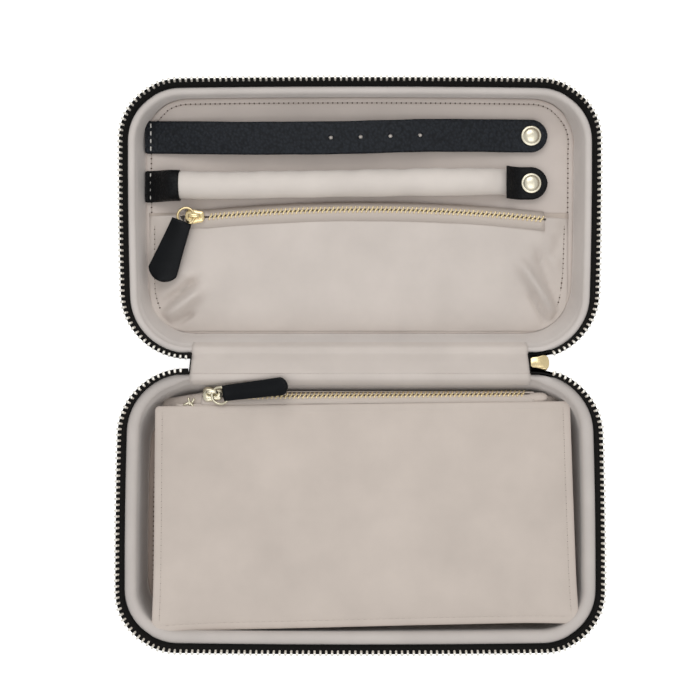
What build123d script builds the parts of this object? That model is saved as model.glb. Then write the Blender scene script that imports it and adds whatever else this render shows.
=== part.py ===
"""Travel jewelry box: a zip-round case of two padded trays joined by a folding spine.

Units are millimetres. The case lies open with both trays on their undersides. X runs along
the hinge, +Y points to the lid, -Y to the base, +Z is up, and the origin is the middle of
the hinge line on the surface that the case lies on.
"""
import math
import os

from build123d import *

# Trays
hinge_gap = 8.2
half_depth = 119.5
near_half_width = 102.5
far_half_width = 104.2
side_bow = 0.9
far_bow = 1.0
near_corner_radius = 26.0
far_corner_radius = 23.0
base_rim = 28.0
lid_rim = 20.0
hinge_slope = 0.36
side_slope = 0.12
far_slope = 0.02
bottom_edge_radius = 5.0

# Layers of a tray, from the outside in
cover_wall = 1.0
core_wall = 1.2
lining_wall = 1.0
rim_roll_height = 1.8
rim_roll_radius = 0.7
floor_panel_thickness = 1.4
floor_panel_margin = 2.0

# Zipper round the rims
tape_thickness = 0.8
rim_flare = 3.0
hinge_flare = 1.5
tape_height = 3.2
tooth_pitch = 2.56
tooth_width = 1.15
tooth_tip_width = 0.9
tooth_thickness = 2.0
tooth_seat_gap = 0.25
tooth_overlap = 0.3
tooth_tip_gap = 0.1
chain_end_x = 85.5

# Spine between the trays
spine_half_width = 75.7
spine_cover_thickness = 0.9
spine_lining_thickness = 0.7
spine_edge_clearance = 0.7
end_tab_width = 2.6
end_tab_thickness = 0.8

# Zipper sliders: the main one, and the small ones of the pocket and the pouch
main_slider_length = 8.2
small_slider_length = 8.6
slider_width = 6.6
slider_plate = 0.9
slider_post_length = 2.4
slider_post_width = 0.5
slider_channel = 2.6
slider_corner_radius = 1.6
bridge_length = 5.6
bridge_width = 1.6
bridge_bar = 0.9
bridge_hole = 3.0
main_slider_tilt = 15.0

# Pulls: a wire ring and a folded leather tongue
ring_radius = 4.4
ring_wire = 1.2
ring_slot_play = 0.3
leather_lap = 0.6
leather_thickness = 2.2
pull_length = 29.0
pull_neck_width = 10.4
pull_tail_width = 13.0
pocket_pull_yaw = 71.0
pouch_pull_length = 27.5
pouch_pull_neck_width = 8.6
pouch_pull_tail_width = 10.8
pouch_pull_yaw = 3.0
pouch_pull_roll = 8.0
pouch_pull_pitch = 9.0
main_pull_length = 19.5
main_pull_neck_width = 7.6
main_pull_tail_width = 8.6
main_pull_slant = 50.0

# Earring strap
strap_y = 104.4
strap_width = 15.0
strap_thickness = 2.2
strap_rise = 5.4
strap_flat_length = 17.0
strap_right_x = 86.4
strap_seam_setback = 2.4
strap_hole_radius = 0.9
strap_hole_pitch = 13.6
strap_hole_count = 4
strap_holes_centre_x = 7.2

# Ring roll
roll_y = 82.6
roll_radius = 6.1
roll_core_radius = 3.6
roll_panel_gap = 0.5
roll_end_width = 14.8
roll_sleeve_length = 13.2
roll_sleeve_tip = 2.4
roll_tab_length = 18.0
roll_tab_thickness = 2.4

# Snap fasteners
snap_cap_radius = 4.6
snap_cap_height = 1.8
snap_cap_edge = 0.6
snap_stud_radius = 1.9
snap_stud_reach = 1.0
snap_socket_radius = 4.2
snap_socket_bore = 2.3
snap_socket_height = 1.5
snap_end_distance = 7.6

# Zipped pocket in the lid
pocket_side_margin = 1.6
pocket_near_margin = 1.6
pocket_swell = 6.2
pocket_wall = 1.0
pocket_slant = 13.0
pocket_top_slant = 3.4
pocket_corner_radius = 12.0
pocket_chain_y = 67.0
pocket_chain_left_x = -69.5
pocket_chain_length = 154.0
pocket_chain_height = 4.6

# Small zipper chains
small_tape_thickness = 0.5
small_tape_slit = 0.9
pocket_tape_width = 3.4
pouch_front_tape_width = 1.8
pouch_back_tape_width = 1.2
small_tooth_pitch = 2.0
small_tooth_width = 0.9
small_tooth_reach = 1.7
small_tooth_thickness = 1.8
slider_start_gap = 1.7
tape_lead = 11.0
tape_tail = 4.0
chain_rail_width = 1.7

# Pouch in the base
pouch_centre_x = 1.5
pouch_width = 186.0
pouch_far_y = -117.4
pouch_near_y = -17.6
pouch_top = 24.4
pouch_panel_thickness = 1.3
pouch_floor_clearance = 0.3
pouch_corner_radius = 8.0
pouch_near_corner_radius = 2.5
pouch_seam_allowance = 6.0
pouch_back_inset = 5.5
pouch_gusset_wall = 1.2
pouch_chain_y = -14.2
pouch_chain_drop = 2.6
pouch_chain_left_x = -60.0
pouch_chain_length = 134.0

# Fits between pieces that move on each other
running_clearance = 0.3

# Places that follow from the sizes above
tray_wall = cover_wall + core_wall + lining_wall
panel_top = tray_wall + floor_panel_thickness
spine_length = math.hypot(hinge_gap, base_rim - lid_rim)
spine_slope = math.degrees(math.atan2(base_rim - lid_rim, hinge_gap))
chain_height = spine_length / 2
tooth_length = chain_height - tooth_tip_gap - tape_height - tooth_seat_gap
slider_top = slider_channel / 2 + slider_plate
pivot_height = slider_top + bridge_hole / 2
chain_edge = small_tape_slit / 2 + small_tooth_reach
panel_half_width = (far_half_width - side_slope * (lid_rim - tray_wall) - tray_wall
                    - floor_panel_margin)
strap_left_x = strap_seam_setback - panel_half_width

os.makedirs("parts", exist_ok=True)


def save(piece, name):
    """Label a finished piece and write it under its node name."""
    piece.part.label = name
    export_step(piece.part, f"parts/{name}.step")


def save_group(copies, name):
    """Label a group of separate like solids and write it as one node."""
    group = Compound(children=copies)
    group.label = name
    export_step(group, f"parts/{name}.step")


def half_outline(side, rim, height, inset=0.0, flare=0.0):
    """Plan outline of one tray at a height, side -1 for the base and +1 for the lid."""
    drop = rim - min(height, rim)
    near_x = near_half_width - side_slope * drop - inset + rim_flare * flare
    far_x = far_half_width - side_slope * drop - inset + rim_flare * flare
    near = hinge_gap / 2 + hinge_slope * drop + inset - hinge_flare * flare
    far = hinge_gap / 2 + half_depth - far_slope * drop - inset + rim_flare * flare
    radius_change = rim_flare * flare - inset
    with BuildSketch(Plane.XY.offset(height)) as outline:
        with BuildLine():
            Line((-near_x, side * near), (near_x, side * near))
            bulge_x = (near_x + far_x) / 2 + side_bow
            middle = side * (near + far) / 2
            ThreePointArc((near_x, side * near), (bulge_x, middle), (far_x, side * far))
            ThreePointArc((far_x, side * far), (0, side * (far + far_bow)), (-far_x, side * far))
            ThreePointArc((-far_x, side * far), (-bulge_x, middle), (-near_x, side * near))
        make_face()
        near_corners = outline.vertices().group_by(Axis.Y)[::side][0]
        fillet(near_corners, near_corner_radius + radius_change)
        far_corners = outline.vertices().group_by(Axis.Y)[::side][-1]
        fillet(far_corners, far_corner_radius + radius_change)
    return outline.sketch


def tray_block(side, rim, inset):
    """Solid with sloping walls and a soft bottom edge, from which a tray's layers are cut."""
    with BuildPart() as block:
        loft(sections=[half_outline(side, rim, inset, inset), half_outline(side, rim, rim, inset)],
             ruled=True)
        fillet(block.faces().sort_by(Axis.Z)[0].edges(), bottom_edge_radius - inset)
    return block.part


def tray_layer(side, rim, outer, inner):
    """One layer of a tray, between two insets, open at the top."""
    with BuildPart() as layer:
        add(tray_block(side, rim, outer))
        add(tray_block(side, rim, inner), mode=Mode.SUBTRACT)
        split(bisect_by=Plane.XY.offset(rim - rim_roll_height), keep=Keep.BOTTOM)
    return layer


def tray_lining(side, rim):
    """Padded lining, turned over the rim as a roll that hides the edges of cover and core."""
    outer = cover_wall + core_wall
    seat = rim - rim_roll_height
    with BuildPart() as lining:
        add(tray_block(side, rim, outer))
        loft(sections=[half_outline(side, rim, seat, tape_thickness),
                       half_outline(side, rim, rim, tape_thickness)], ruled=True)
        add(tray_block(side, rim, tray_wall), mode=Mode.SUBTRACT)
        fillet(lining.faces().sort_by(Axis.Z)[-1].edges(), rim_roll_radius)
    return lining


def floor_panel(side, rim):
    """Stitched board that lies on the lining's floor."""
    inset = tray_wall + floor_panel_margin
    with BuildPart() as panel:
        extrude(half_outline(side, rim, tray_wall, inset), amount=floor_panel_thickness)
        fillet(panel.faces().sort_by(Axis.Z)[-1].edges(), floor_panel_thickness / 2)
    return panel


def rim_tape(side, rim):
    """Zipper tape that stands on the cover's edge and leans out all round but at the spine."""
    seat = rim - rim_roll_height
    lean = tape_height / chain_height
    with BuildPart() as tape:
        loft(sections=[half_outline(side, rim, seat, 0.0),
                       half_outline(side, rim, rim + tape_height, 0.0, lean)], ruled=True)
        loft(sections=[half_outline(side, rim, seat, tape_thickness),
                       half_outline(side, rim, rim + tape_height, tape_thickness, lean)],
             ruled=True, mode=Mode.SUBTRACT)
        gap_length = spine_half_width + chain_end_x
        with Locations(((chain_end_x - spine_half_width) / 2, 0, rim)):
            Box(gap_length, 2 * hinge_gap, 4 * tape_height, mode=Mode.SUBTRACT)
    return tape


def rim_teeth(side, rim, phase):
    """Metal teeth along the tape's free edge, phase in pitches along the chain.

    Their tips pass between the other half's, but stop short of them on the hinge side,
    where the two rows close on each other sideways.
    """
    chain = half_outline(1, rim, rim + chain_height, 0.0, 1.0).faces()[0].outer_wire()
    start_x = chain.position_at(0).X
    first = chain_end_x - start_x
    last = chain.length - spine_half_width - start_x
    count = int((last - first) / tooth_pitch)
    with BuildPart() as tooth:
        with BuildSketch(Plane.XZ.offset(-tooth_thickness / 2)):
            with BuildLine():
                Polyline((-tooth_width / 2, -tooth_length), (tooth_width / 2, -tooth_length),
                         (tooth_tip_width / 2, 0), (-tooth_tip_width / 2, 0), close=True)
            make_face()
        extrude(amount=tooth_thickness)
    copies = []
    for index in range(count):
        along = (first + (index + phase) * tooth_pitch) / chain.length
        point = chain.position_at(along)
        tangent = chain.tangent_at(along)
        outward = Vector(tangent.Y, -tangent.X, 0)
        facing = max(-outward.Y, 0.0) ** 2
        lean = rim_flare + (hinge_flare - rim_flare) * facing
        slope = Vector(outward.X * lean, outward.Y * lean, chain_height).normalized()
        tip = point + slope * (tooth_overlap - (tooth_overlap + tooth_tip_gap) * facing)
        tip = Vector(tip.X, side * tip.Y, tip.Z)
        slope = Vector(slope.X, side * slope.Y, slope.Z)
        run = Vector(tangent.X, side * tangent.Y, 0)
        copies.append(tooth.part.moved(Plane(origin=tip, x_dir=run, z_dir=slope).location))
    return copies


def shifted(seat, x=0.0, y=0.0, z=0.0):
    """The same plane, moved along its own axes."""
    origin = seat.from_local_coords(Vector(x, y, z))
    return Plane(origin=origin, x_dir=seat.x_dir, z_dir=seat.z_dir)


def slider_body(seat, length):
    """Zipper slider: two plates joined by a thin post, with a bridge for the pull's ring."""
    bridge_height = bridge_hole + bridge_bar
    with BuildPart(seat) as slider:
        for level in (-slider_top, slider_channel / 2):
            with BuildSketch(shifted(seat, z=level)):
                RectangleRounded(length, slider_width, slider_corner_radius)
            extrude(amount=slider_plate)
        with Locations((slider_post_length / 2 + slider_corner_radius - length / 2, 0, 0)):
            Box(slider_post_length, slider_post_width, slider_channel)
        with BuildSketch(Plane(origin=seat.origin, x_dir=seat.x_dir, z_dir=-seat.y_dir)):
            with Locations((0, slider_top + bridge_height / 2)):
                RectangleRounded(bridge_length, bridge_height, bridge_bar)
            with Locations((0, slider_top + bridge_height / 4)):
                Rectangle(bridge_length, bridge_height / 2)
            with Locations((0, slider_top + bridge_hole / 2)):
                Rectangle(bridge_length - 2 * bridge_bar, bridge_hole, mode=Mode.SUBTRACT)
        extrude(amount=bridge_width / 2, both=True)
    return slider


def pull_ring(seat):
    """Wire ring that passes through the bridge at the seat's origin."""
    with BuildPart() as ring:
        with BuildSketch(shifted(seat, x=ring_radius - ring_wire / 2, z=-ring_wire / 2)):
            Circle(ring_radius)
            Circle(ring_radius - ring_wire, mode=Mode.SUBTRACT)
        extrude(amount=ring_wire)
    return ring


def pull_leather(seat, yaw, length, neck_width, tail_width):
    """Leather tongue folded round the ring, turned by yaw in the ring's plane."""
    tongue = shifted(seat, x=ring_radius - ring_wire / 2).rotated((0, 0, yaw))
    start = ring_radius - ring_wire - leather_lap
    shoulder = start + length - tail_width / 3
    with BuildPart() as leather:
        with BuildSketch(shifted(tongue, z=-leather_thickness / 2)):
            with BuildLine():
                Line((start, -neck_width / 2), (shoulder, -tail_width / 2))
                ThreePointArc((shoulder, -tail_width / 2), (start + length, 0),
                              (shoulder, tail_width / 2))
                Line((shoulder, tail_width / 2), (start, neck_width / 2))
                Line((start, neck_width / 2), (start, -neck_width / 2))
            make_face()
        extrude(amount=leather_thickness)
        slot = ring_wire / 2 + ring_slot_play
        with BuildSketch(shifted(tongue, z=-slot)):
            Circle(ring_radius + ring_slot_play)
        extrude(amount=2 * slot, mode=Mode.SUBTRACT)
    return leather


def chain_tapes(seat, length, lower_width, upper_width):
    """The two tapes of a small zipper, whose chain starts at the seat and runs along its X."""
    run = tape_lead + length + tape_tail
    with BuildPart(seat) as tapes:
        with BuildSketch(shifted(seat, z=-small_tape_thickness / 2)):
            for direction, width in ((-1, lower_width), (1, upper_width)):
                with Locations((run / 2 - tape_lead, direction * (chain_edge + width / 2))):
                    Rectangle(run, width)
        extrude(amount=small_tape_thickness)
    return tapes


def chain_teeth(seat, length):
    """Two rows of small teeth in step by half a pitch, apart by the slider's post."""
    with BuildPart() as tooth:
        Box(small_tooth_width, small_tooth_reach, small_tooth_thickness)
    copies = []
    for row, direction in enumerate((-1, 1)):
        across = direction * (small_tape_slit + small_tooth_reach) / 2
        for index in range(int(length / small_tooth_pitch)):
            along = (index + row / 2 + 0.25) * small_tooth_pitch
            copies.append(tooth.part.moved(shifted(seat, along, across).location))
    return copies


def snap_cap(x, y, underside, thickness):
    """Domed cap on top of a strap end, with its stud through the leather."""
    seat = underside + thickness
    dome = snap_cap_height - snap_cap_edge
    dome_radius = (snap_cap_radius ** 2 + dome ** 2) / (2 * dome)
    half_way = snap_cap_radius / 2
    sag = dome_radius - math.sqrt(dome_radius ** 2 - half_way ** 2)
    with BuildPart() as cap:
        with BuildSketch(Plane(origin=(x, y, 0), x_dir=(1, 0, 0), z_dir=(0, -1, 0))):
            with BuildLine():
                Polyline((0, seat + snap_cap_height), (0, underside - snap_stud_reach),
                         (snap_stud_radius, underside - snap_stud_reach),
                         (snap_stud_radius, seat), (snap_cap_radius, seat),
                         (snap_cap_radius, seat + snap_cap_edge))
                ThreePointArc((snap_cap_radius, seat + snap_cap_edge),
                              (half_way, seat + snap_cap_height - sag),
                              (0, seat + snap_cap_height))
            make_face()
        revolve(axis=Axis((x, y, 0), (0, 0, 1)))
    return cap


def snap_socket(x, y):
    """Socket on the lid panel that a stud clicks into."""
    with BuildPart() as socket:
        with Locations((x, y, panel_top)):
            Cylinder(snap_socket_radius, snap_socket_height,
                     align=(Align.CENTER, Align.CENTER, Align.MIN))
        with Locations((x, y, panel_top + snap_socket_height)):
            Cylinder(snap_socket_bore, 2 * (snap_stud_reach + running_clearance / 2),
                     mode=Mode.SUBTRACT)
    return socket


def rounded_end_plan(left, right, y, width):
    """Plan of a leather end that is square on the left and round on the right."""
    with BuildSketch() as plan:
        with BuildLine():
            Line((left, y - width / 2), (right - width / 2, y - width / 2))
            ThreePointArc((right - width / 2, y - width / 2), (right, y),
                          (right - width / 2, y + width / 2))
            Line((right - width / 2, y + width / 2), (left, y + width / 2))
            Line((left, y + width / 2), (left, y - width / 2))
        make_face()
    return plan.sketch


# The two trays
for side, rim, half in ((-1, base_rim, "base"), (1, lid_rim, "lid")):
    save(tray_layer(side, rim, 0.0, cover_wall), f"{half}_cover")
    save(tray_layer(side, rim, cover_wall, cover_wall + core_wall), f"{half}_core")
    save(tray_lining(side, rim), f"{half}_lining")
    save(floor_panel(side, rim), f"{half}_floor_panel")
    save(rim_tape(side, rim), f"{half}_zip_tape")
    save_group(rim_teeth(side, rim, 0.0 if side < 0 else 0.5), f"{half}_zip_teeth")

# The spine strip, which slopes from the base's rim down to the lid's while the case is open
spine_plane = Plane(origin=(0, 0, (base_rim + lid_rim) / 2), x_dir=(1, 0, 0),
                    z_dir=(0, math.sin(math.radians(spine_slope)),
                           math.cos(math.radians(spine_slope))))
spine_strip_width = spine_length - 2 * spine_edge_clearance
spine_thickness = spine_cover_thickness + spine_lining_thickness

with BuildPart() as spine_cover:
    with BuildSketch(shifted(spine_plane, z=-spine_thickness / 2)):
        Rectangle(2 * spine_half_width, spine_strip_width)
    extrude(amount=spine_cover_thickness)
save(spine_cover, "spine_cover")

with BuildPart() as spine_lining:
    with BuildSketch(shifted(spine_plane, z=spine_thickness / 2 - spine_lining_thickness)):
        Rectangle(2 * spine_half_width, spine_strip_width)
    extrude(amount=spine_lining_thickness)
save(spine_lining, "spine_lining")

# The main slider, parked at the chain's end beside the spine, its bridge on the outer side
tilt = math.radians(main_slider_tilt)
main_slider_x = spine_half_width + running_clearance + main_slider_length / 2
main_seat = Plane(origin=(main_slider_x, 0, (base_rim + lid_rim) / 2), x_dir=(-1, 0, 0),
                  z_dir=(0, -math.sin(tilt), -math.cos(tilt)))
save(slider_body(main_seat, main_slider_length), "main_slider")

with BuildPart() as zip_end_tab:
    tab_length = main_slider_length + 2 * running_clearance - slider_corner_radius
    with BuildSketch(shifted(main_seat, z=-end_tab_thickness / 2)):
        clear_x = slider_post_width / 2 + running_clearance
        for direction in (-1, 1):
            with Locations((main_slider_x - spine_half_width - tab_length / 2,
                            direction * (clear_x + end_tab_width / 2))):
                Rectangle(tab_length, end_tab_width)
    extrude(amount=end_tab_thickness)
save(zip_end_tab, "zip_end_tab")

main_pull_seat = shifted(main_seat, z=pivot_height).rotated((0, -main_pull_slant, 0))
save(pull_ring(main_pull_seat), "main_pull_ring")
save(pull_leather(main_pull_seat, 0, main_pull_length, main_pull_neck_width,
                  main_pull_tail_width), "main_pull_leather")

# Earring strap: sewn down at the left, arched over the panel, snapped at the right
strap_underside = panel_top + snap_socket_height
strap_flat_x = strap_right_x - strap_flat_length
with BuildPart() as earring_strap:
    with BuildSketch(Plane.XZ.offset(-strap_y - strap_width / 2)):
        with BuildLine():
            middle_x = (strap_left_x + strap_flat_x) / 2
            crown = panel_top + strap_rise
            ThreePointArc((strap_left_x, panel_top), (middle_x, crown),
                          (strap_flat_x, strap_underside))
            Line((strap_flat_x, strap_underside), (strap_right_x, strap_underside))
            Line((strap_right_x, strap_underside),
                 (strap_right_x, strap_underside + strap_thickness))
            Line((strap_right_x, strap_underside + strap_thickness),
                 (strap_flat_x, strap_underside + strap_thickness))
            ThreePointArc((strap_flat_x, strap_underside + strap_thickness),
                          (middle_x, crown + strap_thickness),
                          (strap_left_x, panel_top + strap_thickness))
            Line((strap_left_x, panel_top + strap_thickness), (strap_left_x, panel_top))
        make_face()
    extrude(amount=strap_width)
    extrude(rounded_end_plan(strap_left_x, strap_right_x, strap_y, strap_width),
            amount=lid_rim, mode=Mode.INTERSECT)
    with Locations((strap_holes_centre_x, strap_y, panel_top)):
        with GridLocations(strap_hole_pitch, 1, strap_hole_count, 1):
            Cylinder(strap_hole_radius, 2 * lid_rim, mode=Mode.SUBTRACT)
    with Locations((strap_right_x - snap_end_distance, strap_y, panel_top)):
        Cylinder(snap_stud_radius, 2 * lid_rim, mode=Mode.SUBTRACT)
save(earring_strap, "earring_strap")
strap_snap_x = strap_right_x - snap_end_distance
save(snap_cap(strap_snap_x, strap_y, strap_underside, strap_thickness), "strap_snap_cap")
save(snap_socket(strap_snap_x, strap_y), "strap_snap_socket")

# Ring roll: a padded tube with a leather sleeve at the left and a snap tab at the right
roll_left_x = strap_left_x + roll_sleeve_length
roll_right_x = strap_right_x - roll_tab_length
roll_z = panel_top + roll_panel_gap + roll_radius
with BuildPart() as ring_roll:
    with BuildSketch(Plane.YZ.offset(roll_left_x)):
        with Locations((roll_y, roll_z)):
            Circle(roll_radius)
            Circle(roll_core_radius, mode=Mode.SUBTRACT)
    extrude(amount=roll_right_x - roll_left_x)
save(ring_roll, "ring_roll")

with BuildPart() as ring_roll_core:
    with BuildSketch(Plane.YZ.offset(roll_left_x)):
        with Locations((roll_y, roll_z)):
            Circle(roll_core_radius)
    extrude(amount=roll_right_x - roll_left_x)
save(ring_roll_core, "ring_roll_core")

with BuildPart() as roll_sleeve:
    for sleeve_x, sleeve_height in ((strap_left_x, roll_sleeve_tip),
                                    (roll_left_x, roll_panel_gap + 2 * roll_radius)):
        with BuildSketch(Plane.YZ.offset(sleeve_x)):
            with Locations((roll_y, panel_top + sleeve_height / 2)):
                RectangleRounded(roll_end_width, sleeve_height, roll_sleeve_tip / 3)
    loft(ruled=True)
save(roll_sleeve, "roll_sleeve")

with BuildPart() as roll_tab:
    with BuildSketch(Plane.XY.offset(strap_underside)):
        add(rounded_end_plan(roll_right_x, strap_right_x, roll_y, roll_end_width))
        with Locations((strap_right_x - snap_end_distance, roll_y)):
            Circle(snap_stud_radius, mode=Mode.SUBTRACT)
    extrude(amount=roll_tab_thickness)
save(roll_tab, "roll_tab")
save(snap_cap(strap_snap_x, roll_y, strap_underside, roll_tab_thickness), "roll_snap_cap")
save(snap_socket(strap_snap_x, roll_y), "roll_snap_socket")

# Zipped pocket in the lid
pocket_seat = Plane(origin=(pocket_chain_left_x, pocket_chain_y, panel_top + pocket_chain_height))
pocket_tape_underside = pocket_seat.origin.Z - small_tape_thickness / 2
pocket_tape_reach = chain_edge + pocket_tape_width
pocket_half_width = panel_half_width - pocket_side_margin
pocket_near_y = (hinge_gap / 2 + hinge_slope * (lid_rim - tray_wall) + tray_wall
                 + floor_panel_margin + pocket_near_margin)
pocket_top_y = pocket_chain_y - pocket_tape_reach + chain_rail_width
pocket_height = pocket_top_y - pocket_near_y


def pocket_block(inset):
    """Swollen shape of the pocket, from which its fabric wall is cut."""
    with BuildPart() as block:
        with BuildSketch(Plane.XY.offset(panel_top)):
            with Locations((0, (pocket_top_y + pocket_near_y) / 2)):
                RectangleRounded(2 * (pocket_half_width - inset), pocket_height - 2 * inset,
                                 pocket_corner_radius - inset)
        with BuildSketch(Plane.XY.offset(panel_top + pocket_swell - inset)):
            middle_y = (pocket_top_y + pocket_near_y + pocket_slant - pocket_top_slant) / 2
            with Locations((0, middle_y)):
                RectangleRounded(2 * (pocket_half_width - pocket_slant - inset),
                                 pocket_height - pocket_slant - pocket_top_slant - 2 * inset,
                                 pocket_corner_radius - inset)
        loft(ruled=True)
    return block.part


with BuildPart() as pocket:
    add(pocket_block(0.0))
    add(pocket_block(pocket_wall), mode=Mode.SUBTRACT)
    rail_length = tape_lead + pocket_chain_length + tape_tail
    rail_x = pocket_chain_left_x - tape_lead + rail_length / 2
    with Locations((rail_x, pocket_top_y - chain_rail_width / 2, panel_top)):
        Box(rail_length, chain_rail_width, pocket_tape_underside - panel_top,
            align=(Align.CENTER, Align.CENTER, Align.MIN))
save(pocket, "pocket")

with BuildPart() as pocket_welt:
    welt_y = pocket_chain_y + pocket_tape_reach - chain_rail_width / 2
    with Locations((rail_x, welt_y, panel_top)):
        Box(rail_length, chain_rail_width, pocket_tape_underside - panel_top,
            align=(Align.CENTER, Align.CENTER, Align.MIN))
save(pocket_welt, "pocket_welt")
save(chain_tapes(pocket_seat, pocket_chain_length, pocket_tape_width, pocket_tape_width),
     "pocket_zip_tape")
save_group(chain_teeth(pocket_seat, pocket_chain_length), "pocket_zip_teeth")

slider_back = slider_start_gap + small_slider_length / 2
pocket_slider_seat = shifted(pocket_seat, x=-slider_back)
save(slider_body(pocket_slider_seat, small_slider_length), "pocket_slider")
pocket_pull_seat = Plane(origin=shifted(pocket_slider_seat, z=pivot_height).origin,
                         x_dir=(-1, 0, 0), z_dir=(0, 0, 1))
save(pull_ring(pocket_pull_seat), "pocket_pull_ring")
save(pull_leather(pocket_pull_seat, pocket_pull_yaw, pull_length, pull_neck_width,
                  pull_tail_width), "pocket_pull_leather")

# Pouch that lifts out of the base
pouch_bottom = panel_top + pouch_floor_clearance
pouch_depth = pouch_near_y - pouch_far_y
pouch_centre = (pouch_centre_x, (pouch_near_y + pouch_far_y) / 2)


def pouch_panel(bottom, inset, name):
    """Front or back board of the pouch, with tight corners towards the hinge."""
    with BuildPart() as panel:
        with BuildSketch(Plane.XY.offset(bottom)) as outline:
            with Locations(pouch_centre):
                Rectangle(pouch_width - 2 * inset, pouch_depth - 2 * inset)
            fillet(outline.vertices().group_by(Axis.Y)[0], pouch_corner_radius)
            fillet(outline.vertices().group_by(Axis.Y)[-1], pouch_near_corner_radius)
        extrude(amount=pouch_panel_thickness)
    save(panel, name)


pouch_panel(pouch_top - pouch_panel_thickness, 0.0, "pouch_front_panel")
pouch_panel(pouch_bottom, pouch_back_inset, "pouch_back_panel")

gusset_low = pouch_bottom + pouch_panel_thickness
gusset_height = pouch_top - pouch_panel_thickness - gusset_low
gusset_width = pouch_width - 2 * pouch_seam_allowance
gusset_depth = pouch_depth - 2 * pouch_seam_allowance
with BuildPart() as pouch_gusset:
    with BuildSketch(Plane.XY.offset(gusset_low)):
        with Locations(pouch_centre):
            RectangleRounded(gusset_width, gusset_depth, pouch_corner_radius)
            RectangleRounded(gusset_width - 2 * pouch_gusset_wall,
                             gusset_depth - 2 * pouch_gusset_wall,
                             pouch_corner_radius - pouch_gusset_wall, mode=Mode.SUBTRACT)
        with Locations((pouch_centre_x, pouch_near_y - pouch_seam_allowance)):
            Rectangle(gusset_width, 2 * pouch_corner_radius, mode=Mode.SUBTRACT)
    extrude(amount=gusset_height)
save(pouch_gusset, "pouch_gusset")

pouch_seat = Plane(origin=(pouch_chain_left_x, pouch_chain_y, pouch_top - pouch_chain_drop))
pouch_tape_end = pouch_seat.from_local_coords(
    Vector(0, chain_edge + pouch_back_tape_width, -small_tape_thickness / 2))
inner_y = pouch_near_y - pouch_seam_allowance - pouch_corner_radius
with BuildPart() as pouch_zip_gusset:
    wall_top = pouch_tape_end.Z - slider_top - running_clearance
    with BuildSketch(Plane.YZ.offset(pouch_chain_left_x - tape_lead)):
        with BuildLine():
            Polyline((pouch_tape_end.Y, wall_top), (pouch_tape_end.Y - pouch_gusset_wall, wall_top),
                     (inner_y, gusset_low), (inner_y + pouch_gusset_wall, gusset_low), close=True)
        make_face()
    extrude(amount=tape_lead + pouch_chain_length + tape_tail)
    for lug_x, lug_length in ((pouch_chain_left_x - tape_lead, -chain_rail_width),
                              (pouch_chain_left_x + pouch_chain_length + tape_tail,
                               chain_rail_width)):
        with BuildSketch(Plane.YZ.offset(lug_x)):
            with BuildLine():
                Polyline((pouch_tape_end.Y, wall_top),
                         (pouch_tape_end.Y, pouch_tape_end.Z + small_tape_thickness),
                         (pouch_near_y, pouch_top - pouch_panel_thickness),
                         (inner_y, pouch_top - pouch_panel_thickness),
                         (inner_y, gusset_low), close=True)
            make_face()
        extrude(amount=lug_length)
save(pouch_zip_gusset, "pouch_zip_gusset")
save(chain_tapes(pouch_seat, pouch_chain_length, pouch_front_tape_width, pouch_back_tape_width),
     "pouch_zip_tape")
save_group(chain_teeth(pouch_seat, pouch_chain_length), "pouch_zip_teeth")

pouch_slider_seat = shifted(pouch_seat, x=-slider_back)
save(slider_body(pouch_slider_seat, small_slider_length), "pouch_slider")
pouch_pivot = shifted(pouch_slider_seat, z=pivot_height).origin
pouch_pull_seat = Plane(origin=pouch_pivot).rotated((pouch_pull_roll, 0, 0))
pouch_pull_seat = pouch_pull_seat.rotated((0, -pouch_pull_pitch, 0))
save(pull_ring(pouch_pull_seat), "pouch_pull_ring")
save(pull_leather(pouch_pull_seat, pouch_pull_yaw, pouch_pull_length, pouch_pull_neck_width,
                  pouch_pull_tail_width), "pouch_pull_leather")
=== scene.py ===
from bisect import bisect_left
from math import atan2, copysign, cos, exp, hypot, pi, radians, sin, sqrt, tan, tau

import bmesh
import bpy
from mathutils import Matrix, Vector, noise


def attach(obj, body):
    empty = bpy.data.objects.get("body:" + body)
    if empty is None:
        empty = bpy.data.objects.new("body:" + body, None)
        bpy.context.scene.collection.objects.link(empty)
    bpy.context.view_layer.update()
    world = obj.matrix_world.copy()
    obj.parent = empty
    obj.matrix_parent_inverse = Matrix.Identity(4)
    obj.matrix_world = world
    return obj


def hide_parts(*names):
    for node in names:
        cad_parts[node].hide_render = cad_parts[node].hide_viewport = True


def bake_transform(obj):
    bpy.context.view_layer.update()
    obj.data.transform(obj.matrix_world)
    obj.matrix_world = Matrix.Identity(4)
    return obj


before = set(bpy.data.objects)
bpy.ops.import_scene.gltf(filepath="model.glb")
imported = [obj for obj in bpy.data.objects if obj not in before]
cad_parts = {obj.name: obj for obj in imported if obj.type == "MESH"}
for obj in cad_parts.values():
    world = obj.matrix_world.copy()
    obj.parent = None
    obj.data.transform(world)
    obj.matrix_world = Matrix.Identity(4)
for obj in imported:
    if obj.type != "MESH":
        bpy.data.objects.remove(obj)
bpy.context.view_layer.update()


# Numbers and paths. Lengths are in millimetres, and build() stores them in metres.

def clamped(t, low=0.0, high=1.0):
    return min(max(t, low), high)


def eased(t):
    t = clamped(t)
    return t * t * (3 - 2 * t)


def spaced(low, high, count):
    return [low + (high - low) * i / (count - 1) for i in range(count)]


def circle(count, start=0.0):
    """Cosine and sine of evenly spaced turns, the first one start steps on."""
    turns = [tau * (q + start) / count for q in range(count)]
    return [(cos(turn), sin(turn)) for turn in turns]


def boxy(count, fullness, start=0.0):
    """A circle pushed out towards a square."""
    return [(clamped(c * fullness, -1, 1), clamped(s * fullness, -1, 1))
            for c, s in circle(count, start)]


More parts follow.
